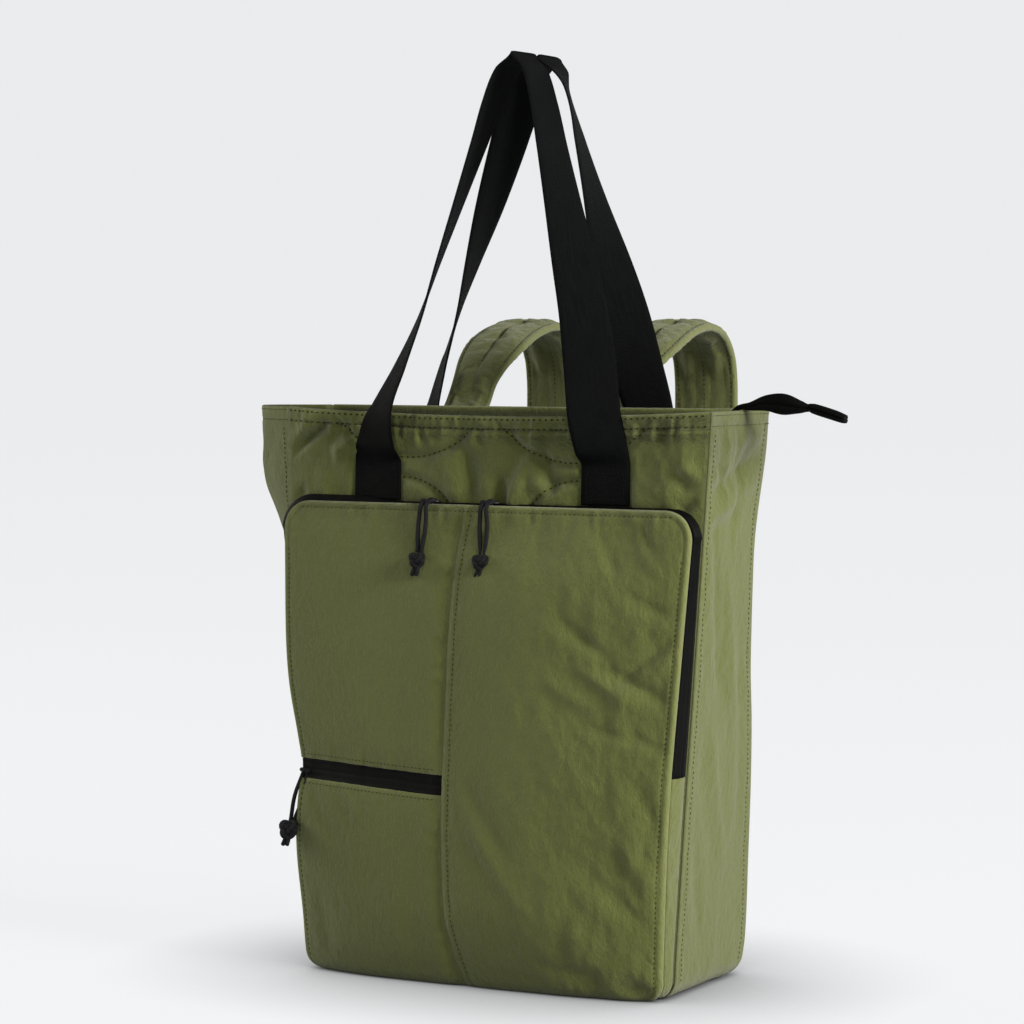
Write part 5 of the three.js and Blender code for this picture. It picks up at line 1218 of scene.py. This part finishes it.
black_webbing = webbing_material()
for name, side, twist in (("handle_front", -1.0, FRONT_TWIST), ("handle_back", 1.0, BACK_TWIST)):
    line, across = handle_path(side, twist)
    strip = put(f"{name}_webbing", *sweep(line, across, webbing_profile(WEBBING_WIDTH, WEBBING_THICKNESS)))
    fit(strip, black_webbing, "black_webbing", name)
    sewing = []
    for foot_line, foot_across in ((line[:14], across[:14]), (line[-14:][::-1], -across[-14:][::-1])):
        tangent = unit(foot_line[-1] - foot_line[0])
        normal = np.cross(foot_across[5], tangent) * (1.0 if side < 0 else 1.0)
        if normal[1] * side < 0:
            normal = -normal
        middle, sideways = foot_line[0], foot_across[5]
        reach = WEBBING_WIDTH / 2 - 0.004
        corners = [(-reach, 0.004), (reach, 0.004), (reach, 0.023), (-reach, 0.023), (-reach, 0.004), (reach, 0.023)]
        for (x0, z0), (x1, z1) in zip(corners[:-1], corners[1:]):
            count = int(math.hypot(x1 - x0, z1 - z0) / 0.0028)
            for k in range(count):
                s = (k + 0.5) / count
                place = (middle + sideways * (x0 + (x1 - x0) * s) + tangent * (z0 + (z1 - z0) * s)
                         + normal * (WEBBING_THICKNESS / 2 + 0.0001))
                ahead = unit(sideways * (x1 - x0) + tangent * (z1 - z0))
                beside = np.cross(ahead, normal)
                sewing.append([place - ahead * 0.001, place + beside * 0.00025, place + ahead * 0.001,
                               place - beside * 0.00025, place + normal * 0.0004, place - normal * 0.0003])
    shape = np.array([(0, 1, 4), (1, 2, 4), (2, 3, 4), (3, 0, 4), (1, 0, 5), (2, 1, 5), (3, 2, 5), (0, 3, 5)])
    faces = (np.arange(len(sewing))[:, None, None] * 6 + shape[None]).reshape(-1, 3)
    fit(put(f"{name}_sewing", np.array(sewing), faces, np.zeros((len(sewing) * 6, 2))), cord_finish, "black_webbing")

# The shoulder straps are padded tubes of brushed olive cloth with a piped edge down both sides and a
# sewn channel along the middle. They arch up from the back, fall, and end in an adjuster each.
STRAP_HALF_SPACING = 0.052
STRAP_SPREAD = 0.009
STRAP_WIDTH = 0.052
STRAP_BASE_WIDTH = 0.037
STRAP_THICKNESS = 0.010
STRAP_BASE_THICKNESS = 0.006
STRAP_BASE_LENGTH = 0.024
STRAP_BASE_DROP = 0.010
STRAP_ARCH = 0.064
STRAP_REACH = 0.160
STRAP_LIE_GAP = 0.0016
STRAP_DROP = 0.345
STRAP_TOE_OUT = 0.026
STRAP_FOOT_OUT = {-1.0: 0.0105, 1.0: 0.0020}
STRAP_OLIVE = (0.077, 0.085, 0.023, 1.0)
STRAP_DARK = (0.060, 0.066, 0.017, 1.0)
STRAP_WORN = (0.130, 0.140, 0.050, 1.0)
# Columns: share of the reach behind the panel, share of the arch above the rim
STRAP_ARCH_PATH = np.array([(0.07, 0.02), (0.15, 0.29), (0.25, 0.53), (0.40, 0.75), (0.56, 0.88), (0.72, 0.92),
                            (0.86, 0.82), (0.95, 0.58), (0.98, 0.28)])
# Columns: share of the reach behind the panel, share of the drop below the rim
STRAP_FALL_PATH = np.array([(0.98, 0.05), (0.96, 0.20), (0.90, 0.36), (0.80, 0.54), (0.68, 0.72), (0.58, 0.84)])


def rope(points, shares):
    """A centripetal curve through points: cubics whose knots are the square roots of the distances apart."""
    points = np.asarray(points, float)
    points = np.concatenate([[2 * points[0] - points[1]], points, [2 * points[-1] - points[-2]]])
    steps = np.sqrt(np.linalg.norm(np.diff(points, axis=0), axis=1))[:, None]
    at = np.asarray(shares, float) * (len(points) - 3)
    i = np.clip(np.floor(at).astype(int), 0, len(points) - 4)
    s = (at - i)[:, None]
    p0, p1, p2, p3 = points[i], points[i + 1], points[i + 2], points[i + 3]
    d0, d1, d2 = steps[i], steps[i + 1], steps[i + 2]
    t1 = ((p1 - p0) / d0 - (p2 - p0) / (d0 + d1) + (p2 - p1) / d1) * d1
    t2 = ((p2 - p1) / d1 - (p3 - p1) / (d1 + d2) + (p3 - p2) / d2) * d1
    return p1 + t1 * s + (-3 * p1 + 3 * p2 - 2 * t1 - t2) * s**2 + (2 * p1 - 2 * p2 + t1 + t2) * s**3


def lie_behind(x, z, thick, wide):
    """How far behind the back panel's middle a flat strip of a width and thickness lies."""
    panel = [wall_y(BACK, np.array([place]), np.array([z]))[0] for place in (x - wide / 2, x, x + wide / 2)]
    return STRAP_LIE_GAP + thick / 2 + max(panel[1], (panel[0] + panel[2]) / 2), math.atan2(panel[2] - panel[0], wide)


def strap_path(sign):
    """The points of a strap's middle line and the angle of its sewn end."""
    arch_x = BACK_SHIFT + sign * (STRAP_HALF_SPACING + STRAP_SPREAD + 0.0015)
    base_x = BACK_SHIFT + sign * (STRAP_HALF_SPACING + STRAP_FOOT_OUT[sign])
    top = BAG_HEIGHT - STRAP_BASE_DROP
    behind, angle = lie_behind(base_x, top, STRAP_BASE_THICKNESS, STRAP_BASE_WIDTH)
    lower, _ = lie_behind(base_x, top - STRAP_BASE_LENGTH, STRAP_BASE_THICKNESS, STRAP_BASE_WIDTH)
    points = [(base_x, lower, top - STRAP_BASE_LENGTH), (base_x, behind, top)]
    for reach, up in STRAP_ARCH_PATH:
        points.append((base_x + (arch_x - base_x) * ease(reach, 0.0, 0.4), behind + reach * STRAP_REACH,
                       BAG_HEIGHT + up * STRAP_ARCH))
    for reach, drop in STRAP_FALL_PATH:
        points.append((arch_x + sign * STRAP_TOE_OUT * drop**2, behind + reach * STRAP_REACH,
                       BAG_HEIGHT - drop * STRAP_DROP))
    return points, angle


def pad_profile(width, thick, along_strap, sides=30):
    """The section of the padded strap all along it: two crowned faces, a seam in front of each piped edge,
    and a channel down the middle, with a few wrinkles across where it bends."""
    p = np.sin(np.linspace(-np.pi / 2, np.pi / 2, sides))
    p = 0.5 * p + 0.5 * np.linspace(-1.0, 1.0, sides)
    crown = np.sqrt(np.maximum(0.0, 1 - 0.92 * np.abs(p)**5))
    seam = 1 - 0.38 * np.exp(-((np.abs(p) - 0.84) / 0.05)**2)
    share, across = along_strap[:, None], p[None, :]
    channel = 1 - 0.38 * ease(share, 0.20, 0.25) * np.exp(-(across / 0.07)**2)
    free = np.sqrt(np.maximum(0.0, 1 - (across / 0.84)**2))
    bend = ease(share, 0.24, 0.34) * (1 - ease(share, 0.58, 0.72))
    upper = crown * seam * channel * (1 + 0.05 * free * soft_noise(share * 26 + np.abs(across), across * 1.5, 51.0))
    pull = soft_noise(share * 58 + 1.6 * np.abs(across), across * 0.9, 52.0)
    lower = crown * seam * channel * (1 + (0.05 + 0.34 * bend) * free * pull)
    edge = np.broadcast_to(p[None], upper.shape) * width[:, None] / 2
    top = np.stack([edge, upper * thick[:, None] / 2], -1)
    bottom = np.stack([edge, -lower * thick[:, None] / 2], -1)
    return np.concatenate([bottom, top[:, ::-1]], axis=1)


def swell(made, held, cap):
    """Blows up a sewn pad as cloth under a little air: the points where it is stitched are held, and no
    other point moves further than the cap, as cap * tanh(move / cap)."""
    start = np.empty(len(made.data.vertices) * 3, np.float32)
    made.data.vertices.foreach_get("co", start)
    sewn = made.vertex_groups.new(name="sewn")
    sewn.add(np.flatnonzero(held).tolist(), 1.0, "REPLACE")
    cloth = made.modifiers.new("swell", "CLOTH")
    cloth.settings.vertex_group_mass = "sewn"
    cloth.settings.use_pressure = True
    cloth.settings.uniform_pressure_force = 4.0
    cloth.settings.shrink_min = -0.03
    cloth.settings.effector_weights.gravity = 0.0
    for step in range(1, 21):
        bpy.context.scene.frame_set(step)
    end = np.empty_like(start)
    made.evaluated_get(bpy.context.evaluated_depsgraph_get()).data.vertices.foreach_get("co", end)
    made.modifiers.remove(cloth)
    made.vertex_groups.clear()
    bpy.context.scene.frame_set(1)
    moved = (end - start).reshape(-1, 3)
    far = np.maximum(np.linalg.norm(moved, axis=1, keepdims=True), 1e-9)
    made.data.vertices.foreach_set("co", (start.reshape(-1, 3) + moved * cap * np.tanh(far / cap) / far).ravel())
    made.data.update()


strap_cloth = olive_material("strap_cloth", STRAP_OLIVE, STRAP_DARK, STRAP_WORN, 0.9, 0.0005)
strap_ends = {}
for name, sign in (("left", -1.0), ("right", 1.0)):
    points, base_angle = strap_path(sign)
    share = np.linspace(0.0, 1.0, 420)
    line = rope(points, share)
    angle = base_angle * (1 - ease(share, 0.08, 0.2))
    across = np.stack([np.cos(angle), np.sin(angle), 0 * angle], -1)
    grow = ease(share, 0.16, 0.32) * (1 - 0.25 * ease(share, 0.85, 1.0))
    close = np.sqrt(np.minimum(1.0, np.minimum(share, 1 - share) / 0.006 + 0.12))
    width = (STRAP_BASE_WIDTH + (STRAP_WIDTH - STRAP_BASE_WIDTH) * grow) * (0.94 + 0.06 * close)
    thick = (STRAP_BASE_THICKNESS + (STRAP_THICKNESS - STRAP_BASE_THICKNESS) * grow) * close
    profile = pad_profile(width, thick, share)
    strap = put(f"strap_pad_{name}", *sweep(line, across, profile))
    place = np.abs(profile[..., 0]) / (width[:, None] / 2)
    held = (place < 0.05) | (np.abs(place - 0.84) < 0.05) | (place > 0.97) | (np.abs(share[:, None] - 0.5) > 0.48)
    swell(strap, np.concatenate([held.ravel(), [True, True]]), 0.0022)
    wear_near_edges(strap, np.concatenate([(1.6 - 1.3 * ease(place, 0.86, 0.98)).ravel(), [1.6, 1.6]]))
    fit(strap, strap_cloth, "strap_cloth", f"shoulder_strap_{name}")
    skin = np.empty(len(strap.data.vertices) * 3, np.float32)
    strap.data.vertices.foreach_get("co", skin)
    skin = skin[:share.size * profile.shape[1] * 3].reshape(share.size, profile.shape[1], 3)

    def face_at(columns):
        """A face of the strap as a surface of its own: places across from 0 to 1, and along from 0 to 1."""
        def surface(u, v):
            row = np.clip(v, 0, 0.99999) * (share.size - 1)
            column = np.clip(u, 0, 0.99999) * (len(columns) - 1)
            i, j = row.astype(int), column.astype(int)
            down, over = (row - i)[:, None], (column - j)[:, None]
            part = skin[:, columns]
            return ((part[i, j] * (1 - over) + part[i, j + 1] * over) * (1 - down)
                    + (part[i + 1, j] * (1 - over) + part[i + 1, j + 1] * over) * down)
        return surface
    faces_of_strap = {"under": face_at(np.arange(0, 30)), "upper": face_at(np.arange(59, 29, -1))}
    down_strap = np.linspace(0.235, 0.965, 700)
    for side, surface in faces_of_strap.items():
        rows = [(np.full(700, place_across), down_strap) for place_across in (0.115, 0.5, 0.885)]
        stitches(f"strap_{side}_stitches_{name}", surface, rows, thread, "strap_cloth")
    strap_ends[name] = (line[-1], unit(line[-1] - line[-3]))

# Under each strap hangs a ladder-lock adjuster of black plastic, and from it 25 mm webbing runs down to
# the foot of the back panel, where it is sewn in.
ADJUSTER_HEIGHT = 0.030
ADJUSTER_WIDTH = 0.034
ADJUSTER_THICKNESS = 0.006
LOWER_WEBBING_WIDTH = 0.025
LOWER_WEBBING_THICKNESS = 0.0018
ANCHOR_HEIGHT = 0.034
ANCHOR_HALF_SPACING = 0.112
PLASTIC = (0.012, 0.012, 0.013, 1.0)


def plastic_material():
    """Black moulded plastic with a fine grained surface."""
    made = Finish("black_plastic", PLASTIC, 0.45)
    grain = made.noise(made.place, (2500.0, 2500.0, 2500.0))
    scuffs = made.noise(made.place, (200.0, 200.0, 200.0), 3.0)
    return made.finish(made.mix(scuffs, PLASTIC, (0.022, 0.022, 0.023, 1.0)), made.between(scuffs, 0.38, 0.55),
                       made.bump(grain, 0.00008))


black_plastic = plastic_material()
for name, sign in (("left", -1.0), ("right", 1.0)):
    end, fall = strap_ends[name]
    sideways = np.array([1.0, 0.0, 0.0])
    sideways = unit(sideways - sideways @ fall * fall)
    top = end + fall * SEAM_GAP
    bars = []
    for offset in (-1.0, 1.0):
        start = top + sideways * offset * (ADJUSTER_WIDTH / 2 - 0.0022)
        route = np.linspace(start, start + fall * ADJUSTER_HEIGHT, 8)
        bars.append(sweep(route, np.tile(sideways, (8, 1)), rounded_box(0.0022, ADJUSTER_THICKNESS / 2, 0.0012)))
    for down, thick in ((0.06, 0.9), (0.38, 0.55), (0.68, 0.55), (0.94, 0.9)):
        middle = top + fall * (down * ADJUSTER_HEIGHT)
        route = np.linspace(middle - sideways * (ADJUSTER_WIDTH / 2 - 0.002), middle + sideways * (ADJUSTER_WIDTH / 2 - 0.002), 8)
        bars.append(sweep(route, np.tile(fall, (8, 1)), rounded_box(0.0019, ADJUSTER_THICKNESS / 2 * thick, 0.0009)))
    fit(put(f"adjuster_bars_{name}", *joined(bars)), black_plastic, "black_plastic", f"strap_adjuster_{name}")

    start = top + fall * (ADJUSTER_HEIGHT + SEAM_GAP)
    leave = start + fall * ADJUSTER_THICKNESS
    anchor_x = sign * ANCHOR_HALF_SPACING
    anchor_y, _ = lie_behind(anchor_x, ANCHOR_HEIGHT, LOWER_WEBBING_THICKNESS, LOWER_WEBBING_WIDTH)
    sewn_z = ANCHOR_HEIGHT + LOWER_WEBBING_WIDTH / 2
    sewn_y, _ = lie_behind(anchor_x, sewn_z, LOWER_WEBBING_THICKNESS, LOWER_WEBBING_WIDTH)
    sewn = np.array([anchor_x, sewn_y + SEAM_GAP, sewn_z])
    hang = (leave + sewn) / 2 + [0.0, 0.06 * np.linalg.norm(leave - sewn), -0.004]
    line = rope([start, leave, hang, sewn, (anchor_x, anchor_y, ANCHOR_HEIGHT)], np.linspace(0.0, 1.0, 90))
    lower = sweep(line, np.tile([1.0, 0.0, 0.0], (90, 1)), webbing_profile(LOWER_WEBBING_WIDTH, LOWER_WEBBING_THICKNESS))
    fit(put(f"lower_webbing_{name}", *lower), black_webbing, "black_webbing", f"strap_webbing_{name}")

# A plain pale floor that glows evenly and curves up far away into a dish, so that every view sees the same ground.
# Near the bag its glow is dimmed by ambient occlusion, a painted contact shadow.
FLOOR = (0.05, 0.051, 0.052, 1.0)
GLOW = 0.82
turn = 2 * np.pi * np.arange(96) / 96
out = np.concatenate([np.linspace(0.0, 7.0, 15)[1:], 7.0 + 5.0 * np.sin(np.linspace(0.0, np.pi / 2, 16)[1:])])
rise = np.concatenate([np.zeros(14), 5.0 * (1 - np.cos(np.linspace(0.0, np.pi / 2, 16)[1:]))])
dish = np.stack([np.outer(out, np.cos(turn)), np.outer(out, np.sin(turn)), np.outer(rise, np.ones(96))], -1)
i, j = np.meshgrid(np.arange(len(out) - 1), np.arange(96), indexing="ij")
k = (j + 1) % 96
quads = np.stack([i * 96 + j, i * 96 + k, (i + 1) * 96 + k, (i + 1) * 96 + j], -1).reshape(-1, 4)[:, ::-1]
middle = len(out) * 96
fan = np.stack([np.full(96, middle), np.arange(96), (np.arange(96) + 1) % 96], -1)
ground = put("floor", np.concatenate([dish.reshape(-1, 3), [[0.0, 0.0, 0.0]]]), [quads, fan])
paper = Finish("paper", FLOOR, 0.9, specular=0.1)
paper.shader.inputs["Emission Color"].default_value = (0.97, 0.985, 1.0, 1.0)
# Painted contact shadow: the floor's glow is dimmed where ambient occlusion finds the bag close by
painted_contact_shadow = paper.node("ShaderNodeAmbientOcclusion", Distance=0.16)
glow = paper.math("MULTIPLY", paper.math("POWER", painted_contact_shadow.outputs["AO"], 1.2), GLOW)
paper.tree.links.new(glow, paper.shader.inputs["Emission Strength"])
ground.data.materials.append(paper.finish())
ground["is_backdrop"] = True

# Soft studio light: one large lamp high on the right, a faint one on the left, and even light all round.
LAMPS = [("key", (3.58, -0.48, 1.7), 1.4, 330.0, (1.0, 0.985, 0.95)),
         ("rake", (1.5, -1.8, 3.2), 0.7, 30.0, (1.0, 0.99, 0.90)),
         ("fill", (-3.2, -0.38, 1.3), 1.5, 85.0, (1.0, 0.99, 0.86))]
for name, place, size, power, colour in LAMPS:
    data = bpy.data.lights.new(name, "AREA")
    data.shape = "DISK"
    data.size, data.energy, data.color = size, power, colour
    lamp = bpy.data.objects.new(name, data)
    lamp.location = place
    lamp.rotation_euler = (Vector((0.0, 0.0, 0.25)) - Vector(place)).to_track_quat("-Z", "Y").to_euler()
    bpy.context.scene.collection.objects.link(lamp)
world = bpy.data.worlds.new("studio")
world.use_nodes = True
world.node_tree.nodes["Background"].inputs["Color"].default_value = (0.98, 0.99, 0.93, 1.0)
world.node_tree.nodes["Background"].inputs["Strength"].default_value = 0.18
bpy.context.scene.world = world

low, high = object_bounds()
